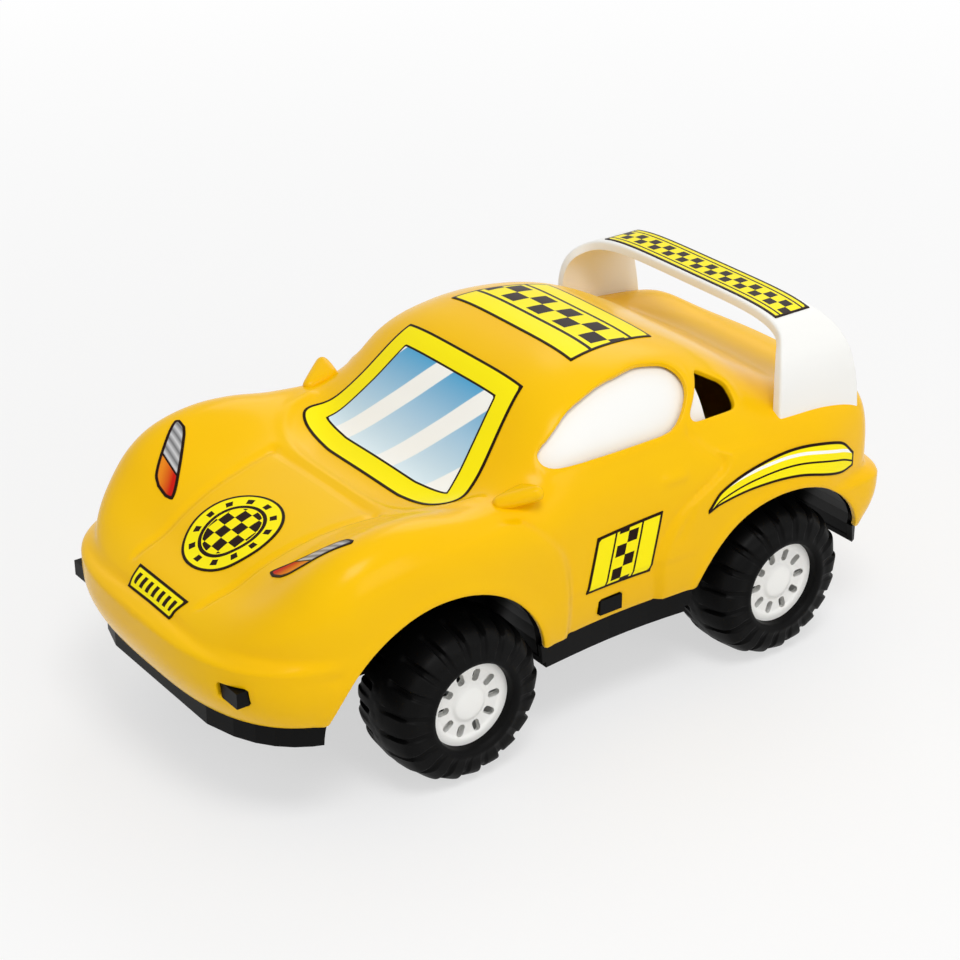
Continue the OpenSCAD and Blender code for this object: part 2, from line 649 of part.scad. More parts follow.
// Sticker on the left side: rows of length share, low and high share of the roof's height
module side_sticker(rows, count, across) {
    function place_row(v, off) = let (y = (curve(v, rows, 1) - 0.5) * body_l)
        [for (j = [0:across]) let (w = j / across, lean = curve(v, rows, 4) * body_l)
            side_at(y + lean * w, waist_z + roof_h * mix(curve(v, rows, 2), curve(v, rows, 3), w), off)];
    vs = [for (i = [0:count]) i / count];
    color("#ffe91a") film([for (v = vs) place_row(v, sticker_gap)], [for (v = vs) place_row(v, top_off)]);
}
// Rows of a sticker: step, length share, right and left edge as shares of half the width
screen_shares = [[0, .322, -.3, .3], [.1, .329, -.54, .54], [.25, .347, -.625, .625], [.5, .385, -.585, .585],
    [.75, .43, -.52, .52], [1, .4785, -.458, .458]];
roof_sticker_shares = [[0, .546, -.48, .48], [1, .687, -.41, .41]];
grille_shares = [[0, .018, -.19, .19], [1, .041, -.22, .22]];
lamp_shares = [[0, .118, .48, .55], [.12, .123, .44, .6], [.5, .149, .54, .69], [.88, .177, .67, .77],
    [1, .183, .71, .76]];
badge_share = 0.14;
badge_steps = 14;
badge_arc = 172;
badge_rows = [for (i = [0:badge_steps])
    let (a = badge_arc * (0.5 - i / badge_steps), w = badge_r * cos(a) / half_w)
    [i / badge_steps, badge_share - badge_r * sin(a) / body_l, -w, w]];
// Rows of a side sticker: step, length share, low and high share of the roof's height, lean of the row
door_shares = [[0, .482, -.03, .26, .016], [1, .584, -.04, .28, .016]];
flash_shares = [[0, .668, .19, .21, 0], [.12, .688, .22, .3, 0], [.35, .745, .25, .38, 0],
    [.6, .81, .24, .4, 0], [.85, .885, .16, .34, 0], [1, .915, .16, .24, 0]];

module windscreen_sticker() { top_sticker(screen_shares, 16, 16); }
module roof_sticker() { top_sticker(roof_sticker_shares, 6, 12); }
module grille_sticker() { top_sticker(grille_shares, 4, 8); }
module bonnet_sticker() { top_sticker(badge_rows, badge_steps, 8); }
module left_lamp_sticker() { top_sticker(lamp_shares, 8, 4); }
module right_lamp_sticker() { mirror([1, 0, 0]) left_lamp_sticker(); }
module left_door_sticker() { side_sticker(door_shares, 6, 6); }
module right_door_sticker() { mirror([1, 0, 0]) left_door_sticker(); }
module left_fender_sticker() { side_sticker(flash_shares, 12, 4); }
module right_fender_sticker() { mirror([1, 0, 0]) left_fender_sticker(); }
// Wing sticker: a thin band on the top of the hoop
wing_sticker_w_share = 0.75;
wing_sticker_l_share = 0.95;
module wing_sticker() {
    w = wing_w / 2;
    h = wing_z - wing_spring_z;
    x1 = wing_sticker_w_share * w;
    function band(off) = [for (i = [0:wing_steps]) let (x = mix(-x1, x1, i / wing_steps))
        [x, wing_spring_z + off + h * pow(1 - pow(abs(x) / w, wing_power), 1 / wing_power)]];
    low = band(0);
    high = band(sticker_t);
    l = wing_sticker_l_share * wing_top_l;
    mid = wing_y - (wing_top_share + wing_rake_share) / 2 * wing_foot_l;
    color("#ffe91a") translate([0, mid + l / 2, 0]) rotate([90, 0, 0]) linear_extrude(l)
        polygon(concat(low, [for (i = [wing_steps:-1:0]) high[i]]));
}

body_shell();
chassis();
rear_wing();
window_insert();
front_axle();
rear_axle();
front_left_tyre();
front_right_tyre();
rear_left_tyre();
rear_right_tyre();
front_left_hub();
front_right_hub();
rear_left_hub();
rear_right_hub();
front_left_axle_cap();
front_right_axle_cap();
rear_left_axle_cap();
rear_right_axle_cap();
axle_cap_screws();
windscreen_sticker();
roof_sticker();
wing_sticker();
grille_sticker();
bonnet_sticker();
left_lamp_sticker();
right_lamp_sticker();
left_door_sticker();
right_door_sticker();
left_fender_sticker();
right_fender_sticker();
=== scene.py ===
# %% [markdown]
# # A toy taxi
# A moulded push car: one yellow shell, a black chassis, four chunky wheels, a white hoop wing and printed
# stickers. The frame holds every piece at its real size. This lesson gives the pieces their soft moulded
# edges, their print and their plastics, and it never moves what the frame fixes.

# %% Load the frame
import math

import bpy
import numpy as np
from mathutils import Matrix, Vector
from mathutils.bvhtree import BVHTree


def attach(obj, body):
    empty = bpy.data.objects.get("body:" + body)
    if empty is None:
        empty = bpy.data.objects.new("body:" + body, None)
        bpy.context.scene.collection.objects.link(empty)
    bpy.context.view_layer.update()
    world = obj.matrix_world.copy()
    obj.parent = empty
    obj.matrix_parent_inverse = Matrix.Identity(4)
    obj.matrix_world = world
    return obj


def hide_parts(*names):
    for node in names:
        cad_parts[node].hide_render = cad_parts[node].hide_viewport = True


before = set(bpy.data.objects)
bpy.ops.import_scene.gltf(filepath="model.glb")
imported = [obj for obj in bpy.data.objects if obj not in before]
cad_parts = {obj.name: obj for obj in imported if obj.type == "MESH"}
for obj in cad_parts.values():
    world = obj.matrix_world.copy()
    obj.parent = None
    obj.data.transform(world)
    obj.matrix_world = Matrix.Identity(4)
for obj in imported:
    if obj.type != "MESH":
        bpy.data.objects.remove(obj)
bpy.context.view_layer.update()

MM = 0.001

# %% [markdown]
# ## Colours and nodes
# Colours are noted as sRGB hex values, the way a colour picker gives them, and shaders want linear light.
# One function turns one into the other. A second small function adds any shader or geometry node with its
# inputs, so that a material reads as a list of what feeds what.

# %% Colour and node helpers
def linear(code):
    """Linear RGBA of an sRGB hex value."""
    values = [int(code[i:i + 2], 16) / 255 for i in (1, 3, 5)]
    return [v / 12.92 if v <= 0.04045 else ((v + 0.055) / 1.055) ** 2.4 for v in values] + [1]


def add_node(tree, kind, inputs=None, **settings):
    """Adds a node. An input is a value, or an output socket that is linked."""
    node = tree.nodes.new(kind)
    for name, value in settings.items():
        setattr(node, name, value)
    for name, value in (inputs or {}).items():
        if isinstance(value, bpy.types.NodeSocket):
            tree.links.new(value, node.inputs[name])
        else:
            node.inputs[name].default_value = value
    return node


def new_material(name):
    """An empty material with its output node."""
    material = bpy.data.materials.new(name)
    material.use_nodes = True
    material.node_tree.nodes.clear()
    return material, material.node_tree


print("yellow in linear light:", [round(v, 3) for v in linear("#F7BE08")])

# %% [markdown]
# ## Moulded polypropylene
# The shell, the wing, the hubs and the chassis are injection moulded. Such plastic has a soft gloss, a
# colour that drifts a little with the thickness of the wall, and a faint orange peel where the melt met the
# steel. All of them share one recipe: colour drift of some centimetres, gloss drift, and a peel of a few
# millimetres as bump.

# %% Moulded plastics
PEEL_MM, PEEL_DEPTH = 2.5, 0.1            # spacing and depth of the orange peel, drawn coarse enough to show
DRIFT_MM, DRIFT_SPAN = 60, (0.3, 0.7)     # spacing of the slow drift in colour, and its usual range
GLOSS_DRIFT, PLASTIC_IOR = 0.05, 1.49


def moulded(name, light, dark, roughness, peel, shine):
    """Moulded plastic that drifts between two close colours. shine is the strength of its reflections."""
    material, tree = new_material(name)
    place = add_node(tree, "ShaderNodeTexCoord").outputs["Object"]
    drift = add_node(tree, "ShaderNodeTexNoise", {
        "Vector": place, "Scale": 1 / (DRIFT_MM * MM), "Detail": 2.0}).outputs["Fac"]
    colour = add_node(tree, "ShaderNodeMix", {0: drift, 6: linear(dark), 7: linear(light)}, data_type="RGBA")
    gloss = add_node(tree, "ShaderNodeMapRange", {
        "Value": drift, "From Min": DRIFT_SPAN[0], "From Max": DRIFT_SPAN[1],
        "To Min": roughness - GLOSS_DRIFT, "To Max": roughness + GLOSS_DRIFT})
    grain = add_node(tree, "ShaderNodeTexNoise", {
        "Vector": place, "Scale": 1 / (PEEL_MM * MM), "Detail": 3.0}).outputs["Fac"]
    bump = add_node(tree, "ShaderNodeBump", {"Height": grain, "Strength": peel, "Distance": PEEL_DEPTH * MM})
    shader = add_node(tree, "ShaderNodeBsdfPrincipled", {
        "Base Color": colour.outputs[2], "Roughness": gloss.outputs["Result"], "IOR": PLASTIC_IOR,
        "Specular IOR Level": shine, "Normal": bump.outputs["Normal"]})
    add_node(tree, "ShaderNodeOutputMaterial", {"Surface": shader.outputs["BSDF"]})
    return material


# Warm and glossy, with soft streaks of light along the fenders
yellow_plastic = moulded("moulded_polypropylene_yellow", "#F9C702", "#F4BA01", 0.22, 0.2, 0.12)
# Clean and less glossy, so that the wing and the hubs read as one pale tone
white_plastic = moulded("moulded_polypropylene_white", "#F8F8F5", "#F1F0EC", 0.36, 0.2, 0.2)
# Satin black with a faint grey edge
chassis_plastic = moulded("moulded_polypropylene_black", "#101010", "#080808", 0.42, 0.35, 0.08)
# Duller and darker, so that the lugs show by their shadows
tyre_plastic = moulded("moulded_polyethylene_tyre_black", "#0E0E0E", "#070707", 0.45, 0.6, 0.07)
print("plastics:", [m.name for m in (yellow_plastic, white_plastic, chassis_plastic, tyre_plastic)])

# %% [markdown]
# ## Drawn steel
# The axles are drawn wire and the screws are plated. Drawing leaves fine scratches along the wire, which
# stretch the highlight. They hide under the car, so one brushed finish serves both.

# %% Steel of the axles and screws
SCRATCH_MM = 0.6               # width of a drawing mark, drawn coarse enough to show
STRETCH = 0.02                 # how little the marks change along the wire
STEEL_GLOSS = (0.22, 0.42)
# Grey with long faint streaks, so that the highlight runs along the rod
steel, tree = new_material("drawn_steel")
place = add_node(tree, "ShaderNodeTexCoord").outputs["Object"]
along = add_node(tree, "ShaderNodeMapping", {"Vector": place, "Scale": (STRETCH, 1, 1)})
marks = add_node(tree, "ShaderNodeTexNoise", {
    "Vector": along.outputs["Vector"], "Scale": 1 / (SCRATCH_MM * MM)}).outputs["Fac"]
gloss = add_node(tree, "ShaderNodeMapRange", {
    "Value": marks, "To Min": STEEL_GLOSS[0], "To Max": STEEL_GLOSS[1]})
tone = add_node(tree, "ShaderNodeMix", {
    0: marks, 6: linear("#8F9194"), 7: linear("#C2C4C6")}, data_type="RGBA")
shader = add_node(tree, "ShaderNodeBsdfPrincipled", {
    "Base Color": tone.outputs[2], "Metallic": 1.0, "Roughness": gloss.outputs["Result"]})
add_node(tree, "ShaderNodeOutputMaterial", {"Surface": shader.outputs["BSDF"]})
print("metal:", steel.name)

# %% [markdown]
# ## Sheets with rolled edges
# Almost every visible piece of this toy is a moulded wall: a curved sheet with cut-outs and soft edges.
# Booleans would leave ragged shading on such a curved skin. So a sheet starts as a fine grid, the quads
# inside a cut-out go, the points along its outline slide onto it, and a small roll leads the edge round to
# the inner face.

# %% Sheet helpers
ROLL_BENDS = np.radians([30, 60, 90])
SLIDES, PROBE = 4, 0.01
RELAX_MM, RELAX_PASSES, SPIKE_MM = 6.0, 8, 0.35


def grid_quads(ids):
    """Quads of a grid of point numbers, facing out where rows run back and columns run from left to right."""
    return np.stack([ids[:-1, :-1], ids[1:, :-1], ids[1:, 1:], ids[:-1, 1:]], -1).reshape(-1, 4)


def point_normals(points, quads):
    """Normals of the points, averaged over their quads."""
    a, b, c, d = (points[quads[:, k]] for k in range(4))
    normals = np.zeros_like(points)
    for k in range(4):
        np.add.at(normals, quads[:, k], np.cross(c - a, d - b))
    return normals / np.maximum(np.linalg.norm(normals, axis=1, keepdims=True), 1e-9)


def sheet_edges(quads, count):
    """The edges of a sheet, each one once, and whether it lies on the border."""
    edges = np.concatenate([quads[:, [k, (k + 1) % 4]] for k in range(4)])
    key = edges.min(1) * count + edges.max(1)
    first, uses = np.unique(key, return_index=True, return_counts=True)[1:]
    return edges[first], uses == 1


def slid(points, normals, hole, goal):
    """The points moved along the sheet to a distance from the outline of a cut-out."""
    for _ in range(SLIDES):
        gap = hole(points) - goal
        slope = np.stack([hole(points + s) - hole(points - s) for s in PROBE * np.eye(3)], 1) / (2 * PROBE)
        slope -= (slope * normals).sum(1, keepdims=True) * normals
        points = points - slope * (gap / np.maximum((slope ** 2).sum(1), 0.1))[:, None]
    return points


def relaxed(points, quads, normals, hole, roll, rim, tree):
    """The points near a cut-out spread evenly, with the rim on its outline and all of them on the skin."""
    edges, single = sheet_edges(quads, len(points))
    pairs = np.concatenate([edges, edges[:, ::-1]])
    single = np.concatenate([single, single])
    on_rim = np.isin(np.arange(len(points)), rim)
    fixed = np.isin(np.arange(len(points)), pairs[single]) & ~on_rim
    fixed[pairs[single & fixed[pairs[:, 1]], 0]] = True
    target, source = pairs[single | ~on_rim[pairs[:, 0]]].T
    count = np.maximum(np.bincount(target, minlength=len(points)), 1)[:, None]
    near = np.intersect1d(np.flatnonzero((hole(points) < RELAX_MM) & ~fixed), quads)
    rim = np.intersect1d(rim, near)
    for _ in range(RELAX_PASSES):
        total = np.zeros_like(points)
        np.add.at(total, target, points[source])
        points[near] = (points[near] + (total / count)[near]) / 2
        points[rim] = slid(points[rim], normals[rim], hole, roll)
        points[near] = [tree.find_nearest(place)[0] for place in points[near]]
    return points


def cut_out(points, quads, normals, hole, roll, tree):
    """The quads left around the cut-outs, with the points on their outline slid onto it."""
    gap = (hole(points) - roll)[quads].mean(1)
    kept = gap > 0
    spiked = np.isin(quads, np.intersect1d(quads[kept], quads[~kept])).all(1)
    kept &= ~spiked | (gap > SPIKE_MM)
    rim = np.intersect1d(quads[kept], quads[~kept])
    points = points.copy()
    points[rim] = slid(points[rim], normals[rim], hole, roll)
    if tree:
        points = relaxed(points, quads[kept], normals, hole, roll, rim, tree)
    return points, quads[kept]


def moulded_sheet(points, quads, wall, roll, hole=None, normals=None, open_edge=None, tree=None):
    """A wall with rolled edges: its points, its faces, and the sheet's point that each one comes from."""
    normals = point_normals(points, quads) if normals is None else normals
    if hole is not None:
        points, quads = cut_out(points, quads, normals, hole, roll, tree)
    used, quads = np.unique(quads, return_inverse=True)
    quads = quads.reshape(-1, 4)
    points, normals = points[used], normals[used]
    edges, single = sheet_edges(quads, len(points))
    rim = edges[single]
    if open_edge is not None:
        rim = rim[~open_edge(points[rim].mean(1))]
    out = np.zeros_like(points)
    for end in (0, 1):
        np.add.at(out, rim[:, end], np.cross(points[rim[:, 1]] - points[rim[:, 0]], normals[rim].mean(1)))
    lip = np.unique(rim)
    out = out[lip] - (out[lip] * normals[lip]).sum(1, keepdims=True) * normals[lip]
    out /= np.maximum(np.linalg.norm(out, axis=1, keepdims=True), 1e-9)
    steps = [(roll * math.sin(b), roll * (1 - math.cos(b))) for b in ROLL_BENDS] + [(roll, wall)]
    lips = [points[lip] + out * s - normals[lip] * d for s, d in steps]
    layers = [points] + lips + [points - normals * wall]
    sources = [used] + [used[lip]] * len(steps) + [used]
    start = np.cumsum([0] + [len(layer) for layer in layers])
    rank = np.zeros(len(points), int)
    rank[lip] = np.arange(len(lip))
    rows = [rim] + [start[k + 1] + rank[rim] for k in range(len(steps))] + [start[-2] + rim]
    strips = [np.stack([p[:, 1], p[:, 0], q[:, 0], q[:, 1]], 1) for p, q in zip(rows[:-1], rows[1:])]
    faces = np.concatenate([quads] + strips + [start[-2] + quads[:, ::-1]])
    return np.concatenate(layers), faces, np.concatenate(sources)


SHARP_DEGREES = 48


def new_mesh(name, points, faces, material):
    """A smooth object from points in millimetres."""
    mesh = bpy.data.meshes.new(name)
    mesh.from_pydata((points * MM).tolist(), [], [[int(k) for k in face] for face in faces])
    mesh.validate()
    mesh.shade_smooth()
    mesh.set_sharp_from_angle(angle=math.radians(SHARP_DEGREES))
    mesh.materials.append(material)
    thing = bpy.data.objects.new(name, mesh)
    bpy.context.scene.collection.objects.link(thing)
    return thing


def fit(thing, body, slot, *nodes):
    """Makes a finished piece ride on its body in place of its nodes."""
    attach(thing, body)
    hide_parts(*nodes)
    print(thing.name, "points:", len(thing.data.vertices), "faces:", len(thing.data.polygons))


# %% [markdown]
# ## The shape of the body
# The body is a loft: its section changes along the length, and tables of shares say how. Each section joins
# a fender line with a dip in the middle and a cabin. The same rules made the solid in the frame, so this
# skin lies on it.

# %% Tables of the body
BODY_L, HALF_W, ROOF_H = 326, 83, 80
WAIST_Z, EDGE_Z = 65, 46
NOSE_ROUND, TAIL_ROUND = 70, 26
NOSE_POWER, TAIL_POWER = 3, 4
FENDER_POWER, CABIN_POWER = 5, 4
LEDGE, LEDGE_REACH = 5, 0.16
LEDGE_MIDS, LEDGE_RISE = (0.11, 0.075), 0.06
DIP_W, DIP_POWER, DIP_PASSES, BLEND = 0.68, 5, 8, 0.11
TUCK_X, TUCK_Y = 0.03, 0.04
# Each row is a share of the length from the nose, and a share of half the width or of the roof's height.
SIDE = [[0, 1], [.12, .99], [.22, 1], [.32, 1], [.42, .96], [.52, .93], [.6, .93], [.7, .96],
        [.8, 1], [.88, 1], [1, .96]]
DECK = [[0, .1], [.02, .2], [.045, .3], [.086, .43], [.123, .55], [.166, .64], [.218, .68], [.267, .668],
        [.33, .618], [.4, .607], [.47, .64], [.6, .65], [.74, .64], [.82, .615], [.88, .61], [.94, .605],
        [.97, .585], [1, .52]]
DIP = [[0, 0], [.03, .055], [.086, .17], [.144, .24], [.2, .255], [.25, .24], [.347, .163], [.45, 0],
       [.8, 0], [.88, .08], [.95, .11], [1, .04]]
ROOF = [[.29, .28], [.347, .435], [.411, .675], [.475, .915], [.54, .994], [.61, 1], [.69, .94],
        [.76, .82], [.85, .59], [.92, .38], [1, .25]]
CABIN = [[.29, .84], [.4, .87], [.5, .88], [.6, .88], [.7, .87], [.8, .85], [1, .81]]


def curve(v, rows, column=1):
    """Smooth curve through a column of a table."""
    table = np.array(rows, float)
    x, y = table[:, 0], table[:, column]
    n = np.arange(len(x))
    after, before = np.minimum(n + 1, n[-1]), np.maximum(n - 1, 0)
    slope = (y[after] - y[before]) / (x[after] - x[before])
    v = np.clip(v, x[0], x[-1])
    i = np.clip(np.searchsorted(x, v, side="right") - 1, 0, len(x) - 2)
    d = x[i + 1] - x[i]
    s = (v - x[i]) / d
    return (y[i] * (2 * s ** 3 - 3 * s ** 2 + 1) + slope[i] * d * (s ** 3 - 2 * s ** 2 + s)
            + y[i + 1] * (3 * s ** 2 - 2 * s ** 3) + slope[i + 1] * d * (s ** 3 - s ** 2))


print("half width at the doors:", round(HALF_W * float(curve(0.55, SIDE)), 1), "mm")

# %% [markdown]
# ## Skin of the loft
# The section at each share of the length is a superellipse for the fenders, sunk in the middle, and a
# second one for the cabin. A smooth maximum joins them, and a bumper step draws the ends in. Formulas give
# an even skin that a few hand-placed vertices would not.

# %% Skin of the body
def ease(u):
    c = np.clip(u, 0, 1)
    return c * c * (3 - 2 * c)


def superellipse(w, h, power, angle):
    return ((np.abs(np.cos(angle)) / w) ** power + (np.abs(np.sin(angle)) / h) ** power) ** (-1 / power)


def ends(u):
    """How far the nose and the tail round off the width at a share of the length."""
    nose = (1 - (np.maximum(NOSE_ROUND - u * BODY_L, 0) / NOSE_ROUND) ** NOSE_POWER) ** (1 / NOSE_POWER)
    tail = (1 - (np.maximum((u - 1) * BODY_L + TAIL_ROUND, 0) / TAIL_ROUND) ** TAIL_POWER) ** (1 / TAIL_POWER)
    return nose, tail


def half_width(u):
    nose, tail = ends(u)
    return HALF_W * curve(u, SIDE) * nose * tail


def reach(u, angle):
    """Distance of the skin from the middle of the waist."""
    width, height, dip = half_width(u), ROOF_H * curve(u, DECK), curve(u, DIP) / curve(u, DECK)
    plain = angle
    for _ in range(DIP_PASSES + 1):
        r = superellipse(width, height, FENDER_POWER, plain)
        x, z = r * np.cos(plain), r * np.sin(plain)
        keep = 1 - dip * np.exp(-(np.abs(x) / (DIP_W * HALF_W)) ** DIP_POWER)
        plain = np.arctan2(np.sin(angle) / keep, np.cos(angle))
    fender = np.hypot(x, z * keep)
    cabin = superellipse(HALF_W * curve(u, CABIN) * ends(u)[1], ROOF_H * curve(u, ROOF), CABIN_POWER, angle)
    k = BLEND * ROOF_H
    both = np.maximum(fender, cabin) + np.maximum(k - np.abs(fender - cabin), 0) ** 2 / (4 * k)
    return np.where(u < ROOF[0][0], fender, both)


def stepped(u, x, y, z):
    """Draws a point in above the bumper step."""
    nose = 1 - ease(u / LEDGE_REACH)
    tail = ease((u - 1 + LEDGE_REACH) / LEDGE_REACH)
    middle = ROOF_H * np.where(nose > 0, *LEDGE_MIDS)
    up = ease((z - WAIST_Z - middle) / (LEDGE_RISE * ROOF_H) + 0.5)
    x = x * (1 - LEDGE / HALF_W * up * (nose + tail))
    return np.stack([x, y + LEDGE * up * (nose - tail), z + 0 * x], -1)


def skin(u, angle, off=0):
    """Points above the waist, moved out by off."""
    r = reach(u, angle) + off
    y = (u - 0.5) * (BODY_L + 2 * off) + 0 * angle
    return stepped(u, r * np.cos(angle), y, WAIST_Z + r * np.sin(angle))


def sill(u, q, low):
    """Points below the waist, q of the way down to the height low."""
    x = half_width(u) * (1 - TUCK_X * q ** 2)
    return stepped(u, x, (u - 0.5) * BODY_L * (1 - TUCK_Y * q ** 2), WAIST_Z - q * (WAIST_Z - low))


print("roof height:", round(float(skin(np.array([[0.61]]), np.array([[np.pi / 2]]))[0, 0, 2]), 1), "mm")

# %% [markdown]
# ## A fine grid over the body
# The rings lie close where the nose and the tail turn, and the points of a ring are evenly spaced along it,
# so that all quads are nearly square. The first and the last ring close on themselves, which seals nose and
# tail.

# %% Grid of the skin
RING_MM, ACROSS, SILL_ROWS = 1.8, 184, 11
SHELL_T, SHELL_ROLL = 2.2, 0.6
SIDEWAYS = 0.5      # share of a sideways run that counts when the rings are spaced
PILLAR = (0.672, 0.026)   # middle and half length, as shares, of the stretch with three times the rings
TIP_POWERS, TIP_STEPS, LONG_STEPS, TURN_STEPS = (-13, -2.5), 500, 2000, 1441
tips = np.logspace(*TIP_POWERS, TIP_STEPS)
dense_u = np.concatenate([tips, np.linspace(tips[-1], 1 - tips[-1], LONG_STEPS)[1:-1], 1 - tips[::-1]])
plan = np.stack([SIDEWAYS * half_width(dense_u), dense_u * BODY_L], 1)
close = 1 + 2 * (np.abs(dense_u[1:] - PILLAR[0]) < PILLAR[1])
run = np.concatenate([[0], np.cumsum(close * np.linalg.norm(np.diff(plan, axis=0), axis=1))])
ring_u = np.interp(np.linspace(0, run[-1], int(run[-1] / RING_MM)), run, dense_u)[:, None]

dense_angle = np.broadcast_to(np.linspace(0, np.pi, TURN_STEPS), (len(ring_u), TURN_STEPS))
dense_skin = skin(ring_u, dense_angle)
length = np.cumsum(np.linalg.norm(np.diff(dense_skin, axis=1), axis=2), axis=1)
length = np.concatenate([np.zeros((len(ring_u), 1)), length], 1)
angles = np.array([np.interp(np.linspace(0, s[-1], ACROSS + 1), s, a) for s, a in zip(length, dense_angle)])

drop = np.linspace(1, 0, SILL_ROWS + 1)[None, :-1]
left_sill = sill(ring_u, drop, EDGE_Z + SHELL_ROLL)
right_sill = (left_sill * (-1, 1, 1))[:, ::-1]
body_grid = np.concatenate([left_sill, skin(ring_u, angles), right_sill], 1)
body_grid[[0, -1], :, 0] = 0
rings, columns = body_grid.shape[:2]
body_ids = np.arange(rings * columns).reshape(rings, columns)
for end in (0, -1):
    body_ids[end] = np.minimum(body_ids[end], body_ids[end, ::-1])
body_quads = grid_quads(body_ids)
body_points = body_grid.reshape(-1, 3)
print("rings:", rings, "points in a ring:", columns)

# %% [markdown]
# ## Lines moulded into the shell
# The toy has no opening doors: shut lines, the bonnet panel, a door handle, the bead around the screen and
# the rolled lips of the windows and arches are all in the mould. They are real geometry here. Each one is a
# soft ridge or groove across a path on the skin.

# %% Outlines of the cut-outs
WINDOW = [[.446, .665, .03], [.503, .8, .056], [.558, .855, .062], [.617, .862, .069], [.665, .838, .056],
          [.636, .675, .037]]
QUARTER = [[.6715, .675, .03], [.738, .666, .032], [.736, .712, .035], [.7015, .807, .025]]
WINDOW_SOFT, QUARTER_SOFT = 4.0, 1.5
# Middle of a wheel arch along the length, its height and its radius
ARCHES = [(-75.51, 35.51, 50.0), (97, 32.43, 46)]
TAB_HALF = (5.9, 3.65)
TAB_CORNER = 0.8
# Places of the tabs: shares of the length and of the way from the waist down to the lower edge
FRONT_TAB = sill(0.0265, 0.2, EDGE_Z)[[0, 2]]
SIDE_TAB = sill(0.5245, 0.63, EDGE_Z)[[1, 2]]


def hull_outline(corners, soft, count=160):
    """Softened outline round circles given as shares of the length, of the roof's height, and of it again."""
    spots = np.array([((c[0] - 0.5) * BODY_L, WAIST_Z + c[1] * ROOF_H) for c in corners])
    radii = np.array([c[2] * ROOF_H for c in corners])
    turn = np.linspace(0, 2 * np.pi, count, endpoint=False)
    way = np.stack([np.cos(turn), np.sin(turn)], 1)
    best = (way @ spots.T + radii).argmax(1)
    outline = spots[best] + radii[best, None] * way
    run = np.cumsum(np.linalg.norm(outline - np.roll(outline, 1, 0), axis=1))
    even = np.linspace(0, run[-1], count, endpoint=False)
    outline = np.stack([np.interp(even, run, outline[:, c], period=run[-1]) for c in (0, 1)], 1)
    waves = np.fft.fftfreq(count, run[-1] / count)
    smooth = np.exp(-2 * (np.pi * soft * waves) ** 2)[:, None]
    return np.fft.ifft(np.fft.fft(outline, axis=0) * smooth, axis=0).real


def path_distance(points, path):
    """Distance of points from a path of straight pieces."""
    best = np.full(len(points), np.inf)
    for p, q in zip(path[:-1], path[1:]):
        t = np.clip((points - p) @ (q - p) / max((q - p) @ (q - p), 1e-12), 0, 1)
        best = np.minimum(best, np.linalg.norm(points - p - t[:, None] * (q - p), axis=1))
    return best


def outline_distance(flat, outline):
    """Distance from a closed outline, below zero inside it."""
    inside = np.ones(len(flat), bool)
    for p, q in zip(outline, np.roll(outline, -1, 0)):
        inside &= (q[0] - p[0]) * (flat[:, 1] - p[1]) - (q[1] - p[1]) * (flat[:, 0] - p[0]) >= 0
    far = path_distance(flat, np.concatenate([outline, outline[:1]]))
    return np.where(inside, -far, far)


def slot_distance(flat, middle, half, corner):
    """Distance from a rectangle with round corners, below zero inside it."""
    away = np.abs(flat - middle) - np.array(half) + corner
    return np.linalg.norm(np.maximum(away, 0), axis=1) + np.minimum(away.max(1), 0) - corner


window_outlines = [hull_outline(WINDOW, WINDOW_SOFT), hull_outline(QUARTER, QUARTER_SOFT)]


def window_distance(points):
    return np.min([outline_distance(points[:, 1:], o) for o in window_outlines], 0)


def arch_distance(points):
    return np.min([np.hypot(points[:, 1] - y, points[:, 2] - z) - r for y, z, r in ARCHES], 0)


FAR_AWAY = 99
NOSE_SIDE = -110


def tab_distance(points):
    """Distance from the slots of the snap tabs: two in the nose, two in the sills."""
    x = np.abs(points[:, 0])
    nose = slot_distance(np.stack([x, points[:, 2]], 1), FRONT_TAB, TAB_HALF, TAB_CORNER)
    side = slot_distance(points[:, 1:], SIDE_TAB, TAB_HALF, TAB_CORNER)
    nose = np.where(points[:, 1] < NOSE_SIDE, nose, FAR_AWAY)
    return np.minimum(nose, np.where(points[:, 1] > NOSE_SIDE, side, FAR_AWAY))


def body_holes(points):
    return np.min([window_distance(points), arch_distance(points), tab_distance(points)], 0)


print("window outline points:", [len(o) for o in window_outlines])

# %% Moulded lines
def smooth_path(stops, count=60):
    """Smooth path through a few stops."""
    rows = [[i, *stop] for i, stop in enumerate(stops)]
    t = np.linspace(0, len(stops) - 1, count)
    return np.stack([curve(t, rows, c) for c in range(1, len(rows[0]))], 1)


# Paths in the side view, as places along the length and heights
DOOR_REAR = [(51, 113), (57, 106), (63.5, 102), (64, 98), (58, 93.7), (43.5, 85), (35, 75.5), (31, 64.5),
             (33, 47)]
DOOR_FRONT = [(-43, 105.8), (-35, 102.7), (-27.5, 96.8), (-18.5, 85.7), (-14.7, 70.8), (-13.3, 47)]
FLANK_FOLD = [(46.8, 83.7), (43.5, 78.5), (40.3, 73)]
# Path of a line, its height above the skin and its half width
SIDE_LINES = [(DOOR_REAR, -0.7, 1.5), (DOOR_FRONT, -0.7, 1.6), (FLANK_FOLD, -0.6, 1.5)]
# The fenders stand proud of the door beyond its lines: height, length of the step and of the run back down
FENDER_LIFT, FENDER_STEP, FENDER_RUN = 1.7, 3.5, 48
# Path round the nose above the bumper: distance from the middle, place along the length, height
BUMPER_CREASE = [(0, -155.6, 76), (38.5, -155.7, 74), (60.6, -147.9, 70.6), (70.5, -138.5, 68.7),
                 (78.7, -122.3, 67.2)]
BUMPER_LIFT, BUMPER_MM = -1.2, 1.8
